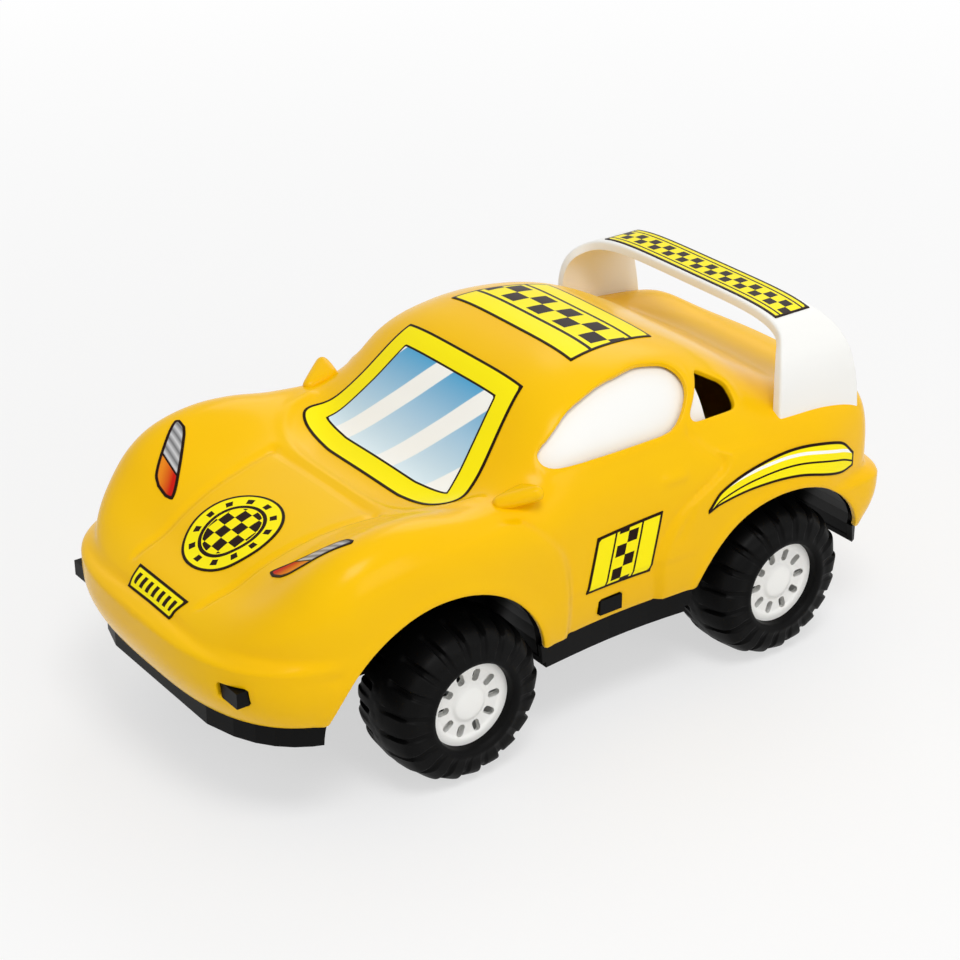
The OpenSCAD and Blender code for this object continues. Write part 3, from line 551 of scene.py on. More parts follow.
# Paths in plan, as distances from the middle and places along the length
BONNET_CREASE = [(36, -76), (33, -90), (30, -110), (27, -130), (25, -147)]
COWL = [(0, -74), (20, -74.5), (36, -76)]
SCREEN_BEAD = [(0, -71), (24, -70.5), (42, -67), (54, -58), (59, -44)]
TOP_LINES = [(BONNET_CREASE, -1.1, 1.5), (COWL, -1.0, 1.5), (SCREEN_BEAD, 1.0, 2.6)]
HANDLE_AT, HANDLE_HALF, HANDLE_CORNER, HANDLE_LIFT = (39.5, 99.3), (6.0, 2.2), 1.5, 0.9
LIP_LIFT, LIP_MM = 0.5, 2.0
# How far a face has to look sideways or up before a line shows on it, and over what range it comes in
SIDE_LOOK, TOP_LOOK, LOOK_RANGE = 0.35, 0.2, 0.3


def ridge(distance, width):
    return np.exp(-(distance / width) ** 2)


def beyond(points, path):
    """How far points lie behind a path that runs down the side."""
    stops = smooth_path(path)[::-1]
    return points[:, 1] - np.interp(points[:, 2], stops[:, 1], stops[:, 0])


def moulded_lift(points, normals):
    """Height of all moulded lines above the plain skin."""
    side_on = ease((np.abs(normals[:, 0]) - SIDE_LOOK) / LOOK_RANGE)
    top_on = ease((normals[:, 2] - TOP_LOOK) / LOOK_RANGE)
    plan = np.stack([np.abs(points[:, 0]), points[:, 1]], 1)
    lift = np.zeros(len(points))
    for path, height, width in SIDE_LINES:
        lift += side_on * height * ridge(path_distance(points[:, 1:], smooth_path(path)), width)
    for path, height, width in TOP_LINES:
        lift += top_on * height * ridge(path_distance(plan, smooth_path(path)), width)
    for ahead in (-beyond(points, DOOR_FRONT), beyond(points, DOOR_REAR)):
        step = ease(0.5 + ahead / FENDER_STEP) * ease(1 - ahead / FENDER_RUN)
        lift += side_on * FENDER_LIFT * step * ease((DOOR_FRONT[0][1] - points[:, 2]) / FENDER_STEP)
    mirrored = np.abs(points) * (1, 0, 1) + points * (0, 1, 0)
    lift += BUMPER_LIFT * ridge(path_distance(mirrored, smooth_path(BUMPER_CREASE)), BUMPER_MM)
    grip = slot_distance(points[:, 1:], HANDLE_AT, HANDLE_HALF, HANDLE_CORNER)
    lift += side_on * HANDLE_LIFT * ease(0.5 - grip / 2)
    for gap in (window_distance(points), arch_distance(points)):
        lift += side_on * LIP_LIFT * ridge(gap - LIP_MM, LIP_MM)
    return lift


plain_normals = point_normals(body_points, body_quads)
body_points = body_points + plain_normals * moulded_lift(body_points, plain_normals)[:, None]
body_normals = point_normals(body_points, body_quads)
skin_tree = BVHTree.FromPolygons(body_points.tolist(), body_quads.tolist())
print("skin quads:", len(body_quads))

# %% [markdown]
# ## Mirror fins
# A small ear stands out beside the foot of each screen pillar. It is a soft blob through three points:
# every direction of a ball is pushed out to the point that reaches furthest that way, with a smooth change
# between them.

# %% Body shell
# Shares of the length, of half the width and of the roof's height
MIRROR = [[.38, .8, .54], [.412, .8, .565], [.414, .89, .59]]
MIRROR_R, MIRROR_SOFT = 3.2, 1.2
BALL_RINGS, BALL_STEPS, POLE = 18, 28, 0.02


def soft_blob(spots, radius, soft):
    """Closed smooth skin round balls at a few spots."""
    tilt = np.linspace(POLE, np.pi - POLE, BALL_RINGS)[:, None]
    turn = np.linspace(0, 2 * np.pi, BALL_STEPS, endpoint=False)[None]
    way = np.stack([np.sin(tilt) * np.cos(turn), np.sin(tilt) * np.sin(turn), np.cos(tilt) + 0 * turn], -1)
    pull = way @ spots.T
    weight = np.exp((pull - pull.max(-1, keepdims=True)) / soft)
    weight /= weight.sum(-1, keepdims=True)
    points = (weight @ spots + radius * way).reshape(-1, 3)
    ids = np.arange(BALL_RINGS * BALL_STEPS).reshape(BALL_RINGS, BALL_STEPS)
    quads = grid_quads(np.concatenate([ids, ids[:, :1]], 1))
    poles = [ids[0].tolist(), ids[-1, ::-1].tolist()]
    return points, quads, poles


shell_points, shell_faces, _ = moulded_sheet(body_points, body_quads, SHELL_T, SHELL_ROLL, body_holes,
                                             body_normals, tree=skin_tree)
shell_faces = shell_faces.tolist()
spots = np.array([(w * HALF_W, (u - 0.5) * BODY_L, WAIST_Z + h * ROOF_H) for u, w, h in MIRROR])
for side in (1, -1):
    fin, quads, poles = soft_blob(spots * (side, 1, 1), MIRROR_R, MIRROR_SOFT)
    shell_faces += [[len(shell_points) + k for k in face] for face in quads.tolist() + poles]
    shell_points = np.concatenate([shell_points, fin])

body_shell = new_mesh("body_shell_skin", shell_points, shell_faces, yellow_plastic)
fit(body_shell, "body", "body_yellow", "body_shell")

# %% [markdown]
# ## White insert behind the windows
# The side windows are closed from inside by one white moulded canopy. It follows the roof a few millimetres
# in.

# %% Window insert
INSERT_U, INSERT_ANGLE = (0.425, 0.7), 33
INSERT_OFF, INSERT_T, INSERT_ROLL = 3.4, 1.6, 0.4
INSERT_GRID = (50, 100)
insert_u = np.linspace(*INSERT_U, INSERT_GRID[0])[:, None]
insert_angle = np.radians(np.linspace(INSERT_ANGLE, 180 - INSERT_ANGLE, INSERT_GRID[1]))[None]
insert_sheet = skin(insert_u, np.broadcast_to(insert_angle, INSERT_GRID), -INSERT_OFF).reshape(-1, 3)
insert_quads = grid_quads(np.arange(len(insert_sheet)).reshape(INSERT_GRID))
insert_points, insert_faces, _ = moulded_sheet(insert_sheet, insert_quads, INSERT_T, INSERT_ROLL)
window_canopy = new_mesh("window_canopy", insert_points, insert_faces, white_plastic)
fit(window_canopy, "body", "insert_white", "window_insert")

# %% [markdown]
# ## Hoop wing
# The wing is a bent white band: two legs that rise from the rear deck and a flat top between them. Its
# section is a superellipse and its side view has a front and a rear edge. A grid between those edges
# becomes a rolled wall.

# %% Rear wing
WING_HALF, WING_Z, WING_FOOT_Z, WING_T, WING_ROLL = 73.5, 145, 92, 4, 1.2
WING_POWER, SPRING_Z = 5, 100.05
WING_Y, WING_FOOT_L = 143.1, 46
WING_FRONT = [[0, .98], [.45, 1], [.65, .985], [.8, .93], [.92, .818], [1, .768]]
WING_REAR = [[0, 0], [.35, .04], [.65, .12], [.85, .2], [.93, .24], [1, .29]]
WING_ALONG, WING_ACROSS = 150, 24
turn = np.linspace(0, np.pi, 2000)
hoop = np.stack([np.cos(turn), np.sin(turn)], 1)
hoop = superellipse(WING_HALF, WING_Z - SPRING_Z, WING_POWER, turn)[:, None] * hoop
hoop = np.concatenate([[[WING_HALF, WING_FOOT_Z - SPRING_Z]], hoop, [[-WING_HALF, WING_FOOT_Z - SPRING_Z]]])
run = np.concatenate([[0], np.cumsum(np.linalg.norm(np.diff(hoop, axis=0), axis=1))])
even = np.linspace(0, run[-1], WING_ALONG + 1)
hoop_x = np.interp(even, run, hoop[:, 0])
hoop_z = np.interp(even, run, hoop[:, 1]) + SPRING_Z
rise = (hoop_z - WING_FOOT_Z) / (WING_Z - WING_FOOT_Z)
front_y = WING_Y - curve(rise, WING_FRONT) * WING_FOOT_L + WING_ROLL
rear_y = WING_Y - curve(rise, WING_REAR) * WING_FOOT_L - WING_ROLL
back = np.linspace(0, 1, WING_ACROSS + 1)[:, None]
wing_grid = np.stack([hoop_x + 0 * back, front_y + back * (rear_y - front_y), hoop_z + 0 * back], -1)
wing_ids = np.arange(wing_grid[..., 0].size).reshape(wing_grid.shape[:2])
wing_sheet, wing_quads = wing_grid.reshape(-1, 3), grid_quads(wing_ids)
wing_tree = BVHTree.FromPolygons(wing_sheet.tolist(), wing_quads.tolist())
wing_points, wing_faces, _ = moulded_sheet(wing_sheet, wing_quads, WING_T, WING_ROLL)
fit(new_mesh("hoop_wing", wing_points, wing_faces, white_plastic), "body", "wing_white", "rear_wing")

# %% [markdown]
# ## Wheels
# A tyre is twenty equal segments and a hub is ten. One segment of each is modelled with all its detail, and
# a Geometry Nodes tree turns copies of it round the axle and welds them. A change to one segment is then a
# change to all.

# %% Ring of segments
ring_tree = bpy.data.node_groups.new("ring_of_segments", "GeometryNodeTree")
sockets = {}
for name, kind in (("Segment", "Geometry"), ("Count", "Int"), ("Centre", "Vector"), ("Weld", "Float"),
                   ("Finish", "Material")):
    sockets[name] = ring_tree.interface.new_socket(name, in_out="INPUT", socket_type="NodeSocket" + kind)
ring_tree.interface.new_socket("Ring", in_out="OUTPUT", socket_type="NodeSocketGeometry")
given = ring_tree.nodes.new("NodeGroupInput").outputs
spread = add_node(ring_tree, "GeometryNodePoints", {"Count": given["Count"]})
step = add_node(ring_tree, "ShaderNodeMath", {0: 2 * math.pi, 1: given["Count"]}, operation="DIVIDE")
number = add_node(ring_tree, "GeometryNodeInputIndex")
angle = add_node(ring_tree, "ShaderNodeMath", {
    0: number.outputs["Index"], 1: step.outputs[0]}, operation="MULTIPLY")
spin = add_node(ring_tree, "FunctionNodeAxisAngleToRotation", {"Axis": (1, 0, 0), "Angle": angle.outputs[0]})
copies = add_node(ring_tree, "GeometryNodeInstanceOnPoints", {
    "Points": spread.outputs[0], "Instance": given["Segment"], "Rotation": spin.outputs[0]})
whole = add_node(ring_tree, "GeometryNodeRealizeInstances", {"Geometry": copies.outputs[0]})
welded = add_node(ring_tree, "GeometryNodeMergeByDistance", {
    "Geometry": whole.outputs[0], "Distance": given["Weld"]})
moved = add_node(ring_tree, "GeometryNodeTransform", {
    "Geometry": welded.outputs[0], "Translation": given["Centre"]})
dressed = add_node(ring_tree, "GeometryNodeSetMaterial", {
    "Geometry": moved.outputs[0], "Material": given["Finish"]})
add_node(ring_tree, "NodeGroupOutput", {"Ring": dressed.outputs[0]})
WELD_MM = 0.01


def ring_piece(name, points, faces, count, centre, material):
    """A finished ring of segments round an axle at centre, as a plain mesh."""
    segment = new_mesh(name + "_segment", points, faces, material)
    modifier = segment.modifiers.new("ring", "NODES")
    modifier.node_group = ring_tree
    for socket, value in (("Count", count), ("Centre", Vector(centre) * MM), ("Weld", WELD_MM * MM),
                          ("Finish", material)):
        modifier[sockets[socket].identifier] = value
    graph = bpy.context.evaluated_depsgraph_get()
    mesh = bpy.data.meshes.new_from_object(segment.evaluated_get(graph), depsgraph=graph)
    bpy.data.objects.remove(segment)
    mesh.shade_smooth()
    mesh.set_sharp_from_angle(angle=math.radians(SHARP_DEGREES))
    ring = bpy.data.objects.new(name, mesh)
    bpy.context.scene.collection.objects.link(ring)
    return ring


print("ring tree nodes:", len(ring_tree.nodes))

# %% [markdown]
# ### Tyre
# The tyre is one hard black moulding. Deep notches part the lugs at the shoulders, run out over the side
# wall as grooves and leave the middle of the tread smooth. The section is a closed curve, and the notches
# push its points in along its normals.

# %% Tyres
TRACK_HALF, TYRE_W = 84, 38
AXLE_Z, AXLE_YS = 34.5, {"front": -63, "rear": 97}
LUGS, LUG_STEPS, SECTION_STEPS = 20, 24, 96
# Section from the bore over the outer side wall to the inner one: distance from the axle, and depth from
# the outer face
SECTION = [(18.03, 4.2), (18.6, 1.2), (20.4, 0.1), (23, 0.5), (26.5, 0.9), (29.6, 1.9), (32.2, 4.2),
           (33.7, 8.2), (34.35, 13), (34.5, 19), (34.35, 25), (33.7, 29.8), (32.2, 33.8), (29.6, 36.1),
           (26.5, 37.1), (23, 37.5), (20.4, 37.9), (18.6, 36.8), (18.03, 33.8)]
NOTCH_MM, NOTCH_EDGE = 1.3, 0.45
# Depth of a notch over the distance from the axle on the side wall, and over the depth on the tread
WALL_NOTCH = [[20.5, 0], [22.5, .25], [25, .8], [29, 1.3], [32, 2.3], [34.5, 2.6]]
TREAD_NOTCH = [[0, 1], [9, 1], [13.5, .55], [16, 0], [22, 0]]
# Slant of the lugs: its height, where it starts on the side wall, over what length, and its fade at the ends
SAW_MM, SAW_FROM, SAW_RUN, SAW_FADE = 0.9, 27, 5, 8
half_turn = np.pi / LUGS


def section_curve(count):
    """Evenly spaced points and outward normals of the tyre's section."""
    stops = smooth_path(SECTION, 800)
    run = np.concatenate([[0], np.cumsum(np.linalg.norm(np.diff(stops, axis=0), axis=1))])
    even = np.linspace(0, run[-1], count)
    points = np.stack([np.interp(even, run, stops[:, c]) for c in (0, 1)], 1)
    along = np.gradient(points, axis=0)
    normals = np.stack([along[:, 1], -along[:, 0]], 1)
    return points, normals / np.linalg.norm(normals, axis=1, keepdims=True)


def tyre_segment():
    """One lug of a left-hand tyre about its axle, with half a notch on either side."""
    section, normals = section_curve(SECTION_STEPS)
    turn = np.linspace(-half_turn, half_turn, LUG_STEPS + 1)[None]
    r, depth = section[:, :1], section[:, 1:]
    far = depth > TYRE_W / 2
    near = np.where(far, TYRE_W - depth, depth)
    strength = curve(r, WALL_NOTCH) * curve(near, TREAD_NOTCH)
    phase = np.where(far, np.abs(turn), half_turn - np.abs(turn))
    notch = ease((NOTCH_MM + NOTCH_EDGE - r * phase) / (2 * NOTCH_EDGE))
    saw = SAW_MM * curve(near, TREAD_NOTCH) * ease((r - SAW_FROM) / SAW_RUN)
    saw = saw * (0.5 - 0.5 * np.sin(np.where(far, -1, 1) * turn / half_turn * np.pi / 2))
    push = strength * notch + saw * (1 - notch) * (1 - np.abs(turn / half_turn) ** SAW_FADE)
    r = r - push * normals[:, :1]
    depth = depth - push * normals[:, 1:]
    points = np.stack([TRACK_HALF - depth, r * np.cos(turn), r * np.sin(turn)], -1)
    ids = np.arange(points[..., 0].size).reshape(points.shape[:2])
    return points.reshape(-1, 3), grid_quads(np.concatenate([ids, ids[:1]]))[:, ::-1]


lug_points, lug_faces = tyre_segment()
for axle, y in AXLE_YS.items():
    for side, x in (("left", 1), ("right", -1)):
        tyre = ring_piece(axle + "_" + side + "_lugged_tyre", lug_points * (x, 1, 1), lug_faces[:, ::x], LUGS,
                          (0, y, AXLE_Z), tyre_plastic)
        fit(tyre, axle + "_wheels", "tyre_black", axle + "_" + side + "_tyre")

# %% [markdown]
# ### Hub
# The hub is a white dish set back in the tyre: a plain rim, ten short slots, and a raised middle. It is a
# rolled sheet too, one tenth at a time, with its slot cut out and its sides left open for the weld.

# %% Hubs
SPOKES, HUB_R, HUB_RECESS, HUB_T = 10, 18, 5, 3
HUB_ROLL, HUB_STEPS, HUB_ROWS = 0.35, 28, 60
SLOT_AT, SLOT_HALF, SLOT_CORNER = 0.66, (2.3, 1.25), 1.125
# Dish of the hub: share of its radius and depth below the rim
HUB_DISH = [[0, -.9], [.2, -.8], [.36, -.4], [.44, .5], [.52, .7], [.76, .7], [.84, .15], [.9, 0], [1, 0]]
BARREL_L = 9
NEARLY = 0.999      # share of the half turn past which an edge counts as the side of a segment


def hub_segment():
    """A tenth of a left-hand hub about its axle: the dish with its slot, and the barrel behind the rim."""
    share = np.linspace(0, 1, HUB_ROWS)[:, None]
    turn = np.linspace(-np.pi / SPOKES, np.pi / SPOKES, HUB_STEPS + 1)[None]
    depth = HUB_RECESS + curve(share, HUB_DISH)
    r = np.concatenate([share * HUB_R, [[HUB_R]]])
    depth = np.concatenate([depth, [[HUB_RECESS + BARREL_L]]])
    fall = np.gradient(depth[:, 0], np.maximum(r[:, 0], 1e-6) + 1e-6 * np.arange(len(r)))
    fall[-2:] = 0
    points = np.stack([TRACK_HALF - depth + 0 * turn, r * np.cos(turn), r * np.sin(turn)], -1)
    fall = fall[:, None]
    normals = np.stack([1 + 0 * fall * turn, fall * np.cos(turn), fall * np.sin(turn)], -1)
    normals[-1] = np.stack([0 * turn[0], np.cos(turn[0]), np.sin(turn[0])], -1)
    normals /= np.linalg.norm(normals, axis=-1, keepdims=True)
    ids = np.arange(points[..., 0].size).reshape(points.shape[:2])
    return points.reshape(-1, 3), grid_quads(ids)[:, ::-1], normals.reshape(-1, 3)


def slot_hole(points):
    return slot_distance(points[:, 1:], (SLOT_AT * HUB_R, 0), SLOT_HALF, SLOT_CORNER)


def segment_side(middles):
    """Whether an edge lies on the side of a hub segment, where the next one joins."""
    return np.abs(np.arctan2(middles[:, 2], middles[:, 1])) > np.pi / SPOKES * NEARLY


dish_points, dish_quads, dish_normals = hub_segment()
spoke_points, spoke_faces, _ = moulded_sheet(dish_points, dish_quads, HUB_T, HUB_ROLL, slot_hole,
                                             dish_normals, segment_side)
for axle, y in AXLE_YS.items():
    for side, x in (("left", 1), ("right", -1)):
        hub = ring_piece(axle + "_" + side + "_slotted_hub", spoke_points * (x, 1, 1), spoke_faces[:, ::x],
                         SPOKES, (0, y, AXLE_Z), white_plastic)
        fit(hub, axle + "_wheels", "hub_white", axle + "_" + side + "_hub")

# %% [markdown]
# ## Pieces that keep their solid
# The chassis, the axle caps, the axles and the screws have their right shape in the frame. They only get a
# finish.

# %% Finishes of the frame's own pieces
for name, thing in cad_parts.items():
    finish = None
    if name == "chassis" or name.endswith("axle_cap"):
        finish = chassis_plastic
    if name.endswith("_axle") or name.endswith("screws"):
        finish = steel
    if finish:
        thing.data.materials.clear()
        thing.data.materials.append(finish)
        print(name, "gets", finish.name)

# %% [markdown]
# ## Stickers
# The decoration is printed vinyl. Each sticker is a patch that is laid on the skin by casting rays at it,
# so it bends where the body bends. Every point stores how far along and across the sticker it lies and how
# far from the cut edge, in millimetres. The print is drawn from those three numbers.

# %% Sticker helpers
FILM_T, FILM_LIFT, FILM_ROLL = 0.3, 0.36, 0.1
RAY_START = 300


def laid(flat, tree, facing):
    """Points and normals of a body where rays from above or from the left meet it."""
    axis = {"up": 2, "left": 0}[facing]
    way = Vector([-1 if k == axis else 0 for k in range(3)])
    hits = []
    for spot in flat.reshape(-1, 3):
        spot = Vector(spot)
        spot[axis] = RAY_START
        place, normal = tree.ray_cast(spot, way)[:2]
        hits.append((place, normal))
    return np.array([h[0] for h in hits]), np.array([h[1] for h in hits])


def row_patch(rows, facing, lengthwise):
    """Flat points of a sticker given by rows: step, length share, and two edges as shares."""
    steps, across = lengthwise
    v = np.linspace(0, 1, steps + 1)[:, None]
    w = np.linspace(0, 1, across + 1)[None]
    y = (curve(v, rows, 1) - 0.5) * BODY_L + 0 * w
    edge = curve(v, rows, 2) + (curve(v, rows, 3) - curve(v, rows, 2)) * w
    if facing == "up":
        return np.stack([HALF_W * edge[:, ::-1], y, 0 * y], -1)
    return np.stack([0 * y, y + curve(v, rows, 4) * BODY_L * w, WAIST_Z + ROOF_H * edge], -1)


def sticker(name, flat, tree, facing, material, node, mirrored=False):
    """A film laid on a body, with its print coordinates."""
    shape = flat.shape[:2]
    points, normals = laid(flat, tree, facing)
    grid = points.reshape(*shape, 3)
    middle = grid[:, shape[1] // 2]
    along = np.concatenate([[0], np.cumsum(np.linalg.norm(np.diff(middle, axis=0), axis=1))])
    across = np.concatenate([np.zeros((shape[0], 1)),
                             np.cumsum(np.linalg.norm(np.diff(grid, axis=1), axis=2), axis=1)], 1)
    border = np.concatenate([grid[0], grid[1:, -1], grid[-1, -2::-1], grid[-2::-1, 0]])
    values = np.stack([(along - along[-1] / 2)[:, None] + 0 * across, across - across[:, -1:] / 2,
                       path_distance(points, border).reshape(shape)], -1).reshape(-1, 3)
    quads = grid_quads(np.arange(len(points)).reshape(shape))
    lifted, faces, source = moulded_sheet(points + normals * FILM_LIFT, quads, FILM_T, FILM_ROLL)
    if mirrored:
        lifted, faces = lifted * (-1, 1, 1), faces[:, ::-1]
    film = new_mesh(name, lifted, faces, material)
    store = film.data.attributes.new("print_mm", "FLOAT_VECTOR", "POINT")
    store.data.foreach_set("vector", values[source].astype(np.float32).ravel())
    fit(film, "body", "sticker_film", node)
    print("   size in mm:", round(along[-1], 1), "by", round(float(across[:, -1].max()), 1))


print("film thickness:", FILM_T, "mm")

# %% [markdown]
# ### Printed vinyl
# The film is glossy, with flat inks: lemon yellow, a brown-black, and a little white, blue, grey and red.
# Every sticker has an inked outline along its cut edge. What is inside differs, so each print is a short
# chain of nodes that ends in a colour.

# %% Print helper
LEMON, INK, PAPER = (linear(code) for code in ("#FFEE12", "#22110A", "#FBFBF6"))
OUTLINE_MM, INK_SOFT = 1.1, 0.12
WAVE_MM, WAVE_DEPTH, WAVE_STRENGTH = 9, 0.2, 0.12     # slight waves of the film
VINYL_ROUGH, VINYL_SHINE = 0.3, 0.06


def printed(name, draw):
    """Glossy vinyl with an inked outline. draw adds the inside of the print and returns its colour."""
    material, tree = new_material(name)
    stored = add_node(tree, "ShaderNodeAttribute", attribute_name="print_mm")
    along, across, edge = add_node(tree, "ShaderNodeSeparateXYZ", {0: stored.outputs["Vector"]}).outputs
    line = add_node(tree, "ShaderNodeMapRange", {
        "Value": edge, "From Min": OUTLINE_MM - INK_SOFT, "From Max": OUTLINE_MM + INK_SOFT})
    colour = add_node(tree, "ShaderNodeMix", {
        0: line.outputs["Result"], 6: INK, 7: draw(tree, along, across, edge)}, data_type="RGBA")
    place = add_node(tree, "ShaderNodeTexCoord").outputs["Object"]
    waves = add_node(tree, "ShaderNodeTexNoise", {
        "Vector": place, "Scale": 1 / (WAVE_MM * MM), "Detail": 1.0}).outputs["Fac"]
    bump = add_node(tree, "ShaderNodeBump", {
        "Height": waves, "Strength": WAVE_STRENGTH, "Distance": WAVE_DEPTH * MM})
    shader = add_node(tree, "ShaderNodeBsdfPrincipled", {
        "Base Color": colour.outputs[2], "Roughness": VINYL_ROUGH, "Specular IOR Level": VINYL_SHINE,
        "Normal": bump.outputs["Normal"]})
    add_node(tree, "ShaderNodeOutputMaterial", {"Surface": shader.outputs["BSDF"]})
    return material


def checkers(tree, along, across, cell):
    """Colour of inked squares on lemon yellow."""
    flat = add_node(tree, "ShaderNodeCombineXYZ", {"X": along, "Y": across, "Z": cell / 2})
    return add_node(tree, "ShaderNodeTexChecker", {
        "Vector": flat.outputs[0], "Color1": INK, "Color2": LEMON, "Scale": 1 / cell}).outputs["Color"]


print("ink in linear light:", [round(v, 3) for v in INK])

# %% [markdown]
# ### Roof, wing and door
# These four carry the checker band that belongs to a cab. The checker texture works in millimetres here, so
# that the squares keep their size on every sticker.

# %% Roof, wing and door stickers
ROOF_ROWS = [[0, .546, -.48, .48], [1, .687, -.41, .41]]
DOOR_ROWS = [[0, .482, -.03, .26, .016], [1, .584, -.04, .28, .016]]
WING_STICKER, WING_GRID = (55.1, 18.8), (100, 22)     # half width and length, and the points of its grid
RULE_AT, RULE_HALF = 1.35, 0.1                        # place and half width of the thin lines, in cells


def checker_band(cell):
    """A drawing of a band two cells wide across the middle, between two thin lines."""
    def draw(tree, along, across, edge):
        off = add_node(tree, "ShaderNodeMath", {0: along}, operation="ABSOLUTE").outputs[0]
        band = add_node(tree, "ShaderNodeMath", {0: off, 1: cell}, operation="LESS_THAN")
        inner = add_node(tree, "ShaderNodeMix", {
            0: band.outputs[0], 6: LEMON, 7: checkers(tree, along, across, cell)}, data_type="RGBA")
        rule = add_node(tree, "ShaderNodeMath", {
            0: off, 1: cell * RULE_AT, 2: cell * RULE_HALF}, operation="COMPARE")
        return add_node(tree, "ShaderNodeMix", {
            0: rule.outputs[0], 6: inner.outputs[2], 7: INK}, data_type="RGBA").outputs[2]
    return draw


roof_print = printed("printed_vinyl_roof", checker_band(8.5))
door_print = printed("printed_vinyl_door", checker_band(5))
wing_print = printed("printed_vinyl_wing", checker_band(4.6))
sticker("roof_film", row_patch(ROOF_ROWS, "up", (44, 64)), skin_tree, "up", roof_print, "roof_sticker")
for side in ("left", "right"):
    sticker(side + "_door_film", row_patch(DOOR_ROWS, "left", (32, 24)), skin_tree, "left", door_print,
            side + "_door_sticker", side == "right")
half_x, long_y = WING_STICKER
wing_mid = WING_Y - (WING_FRONT[-1][1] + WING_REAR[-1][1]) / 2 * WING_FOOT_L
spread_x = np.linspace(half_x, -half_x, WING_GRID[0])[None]
spread_y = wing_mid + np.linspace(-long_y / 2, long_y / 2, WING_GRID[1])[:, None]
wing_flat = np.stack([spread_x + 0 * spread_y, spread_y + 0 * spread_x, 0 * spread_x * spread_y], -1)
sticker("wing_film", wing_flat, wing_tree, "up", wing_print, "wing_sticker")

# %% [markdown]
# ### Windscreen
# The screen is not glass but a print of glass: a blue pane that darkens upwards, with white slanting
# stripes for the glare, inside a yellow margin.

# %% Windscreen sticker
SCREEN_ROWS = [[0, .322, -.3, .3], [.1, .329, -.54, .54], [.25, .347, -.625, .625], [.5, .385, -.585, .585],
               [.75, .43, -.52, .52], [1, .4785, -.458, .458]]
GLASS_EDGE, GLASS_HALF = 9.0, 22.0               # width of the margin, and half the height of the pane
GLASS_LINE = (0.9, 1.1)                          # the ink beside the margin ends between these two
GLARE_MM, GLARE_LEAN = 16.0, 0.6
GLARE_SPAN = (GLARE_MM * 0.62, GLARE_MM * 0.66)


def glass_panel(tree, along, across, edge):
    """Draws a pane of pale blue glass with slanting glare stripes inside a yellow margin."""
    slant = add_node(tree, "ShaderNodeMath", {0: along, 1: GLARE_LEAN, 2: across}, operation="MULTIPLY_ADD")
    wave = add_node(tree, "ShaderNodeMath", {0: slant.outputs[0], 1: GLARE_MM}, operation="PINGPONG")
    glare = add_node(tree, "ShaderNodeMapRange", {
        "Value": wave.outputs[0], "From Min": GLARE_SPAN[0], "From Max": GLARE_SPAN[1]})
    rise = add_node(tree, "ShaderNodeMapRange", {
        "Value": along, "From Min": -GLASS_HALF, "From Max": GLASS_HALF})
    sky = add_node(tree, "ShaderNodeMix", {
        0: rise.outputs["Result"], 6: linear("#DFF0F8"), 7: linear("#5AA9D6")}, data_type="RGBA")
    pane = add_node(tree, "ShaderNodeMix", {
        0: glare.outputs["Result"], 6: sky.outputs[2], 7: PAPER}, data_type="RGBA")
    inked = add_node(tree, "ShaderNodeMapRange", {
        "Value": edge, "From Min": GLASS_EDGE + GLASS_LINE[0], "From Max": GLASS_EDGE + GLASS_LINE[1]})
    edged = add_node(tree, "ShaderNodeMix", {
        0: inked.outputs["Result"], 6: INK, 7: pane.outputs[2]}, data_type="RGBA")
    margin = add_node(tree, "ShaderNodeMapRange", {
        "Value": edge, "From Min": GLASS_EDGE, "From Max": GLASS_EDGE + GLASS_LINE[1] - GLASS_LINE[0]})
    return add_node(tree, "ShaderNodeMix", {
        0: margin.outputs["Result"], 6: LEMON, 7: edged.outputs[2]}, data_type="RGBA").outputs[2]


screen_print = printed("printed_vinyl_screen", glass_panel)
sticker("windscreen_film", row_patch(SCREEN_ROWS, "up", (60, 80)), skin_tree, "up", screen_print,
        "windscreen_sticker")

# %% [markdown]
# ### Bonnet badge
# A round sticker lies in the dip of the bonnet. Its rows follow a circle, and the print is drawn from the
# distance to the cut edge, so that rings need no centre.

# %% Bonnet badge
BADGE_SHARE, BADGE_R, BADGE_ARC = 0.14, 20, 172
BADGE_STEPS, BADGE_CELL, TICK_TURN = 40, 5, math.pi / 12
# Distance from the cut edge as a share of the radius, and half the width in millimetres
DISC_AT, RING_AT, BELT_AT = 0.44, 0.38, 0.22
RING_HALF, BELT_HALF = 0.8, 1.4
turn = np.radians(BADGE_ARC * (0.5 - np.arange(BADGE_STEPS + 1) / BADGE_STEPS))
BADGE_ROWS = [[i / BADGE_STEPS, BADGE_SHARE - BADGE_R * math.sin(a) / BODY_L, -BADGE_R * math.cos(a) / HALF_W,
               BADGE_R * math.cos(a) / HALF_W] for i, a in enumerate(turn)]


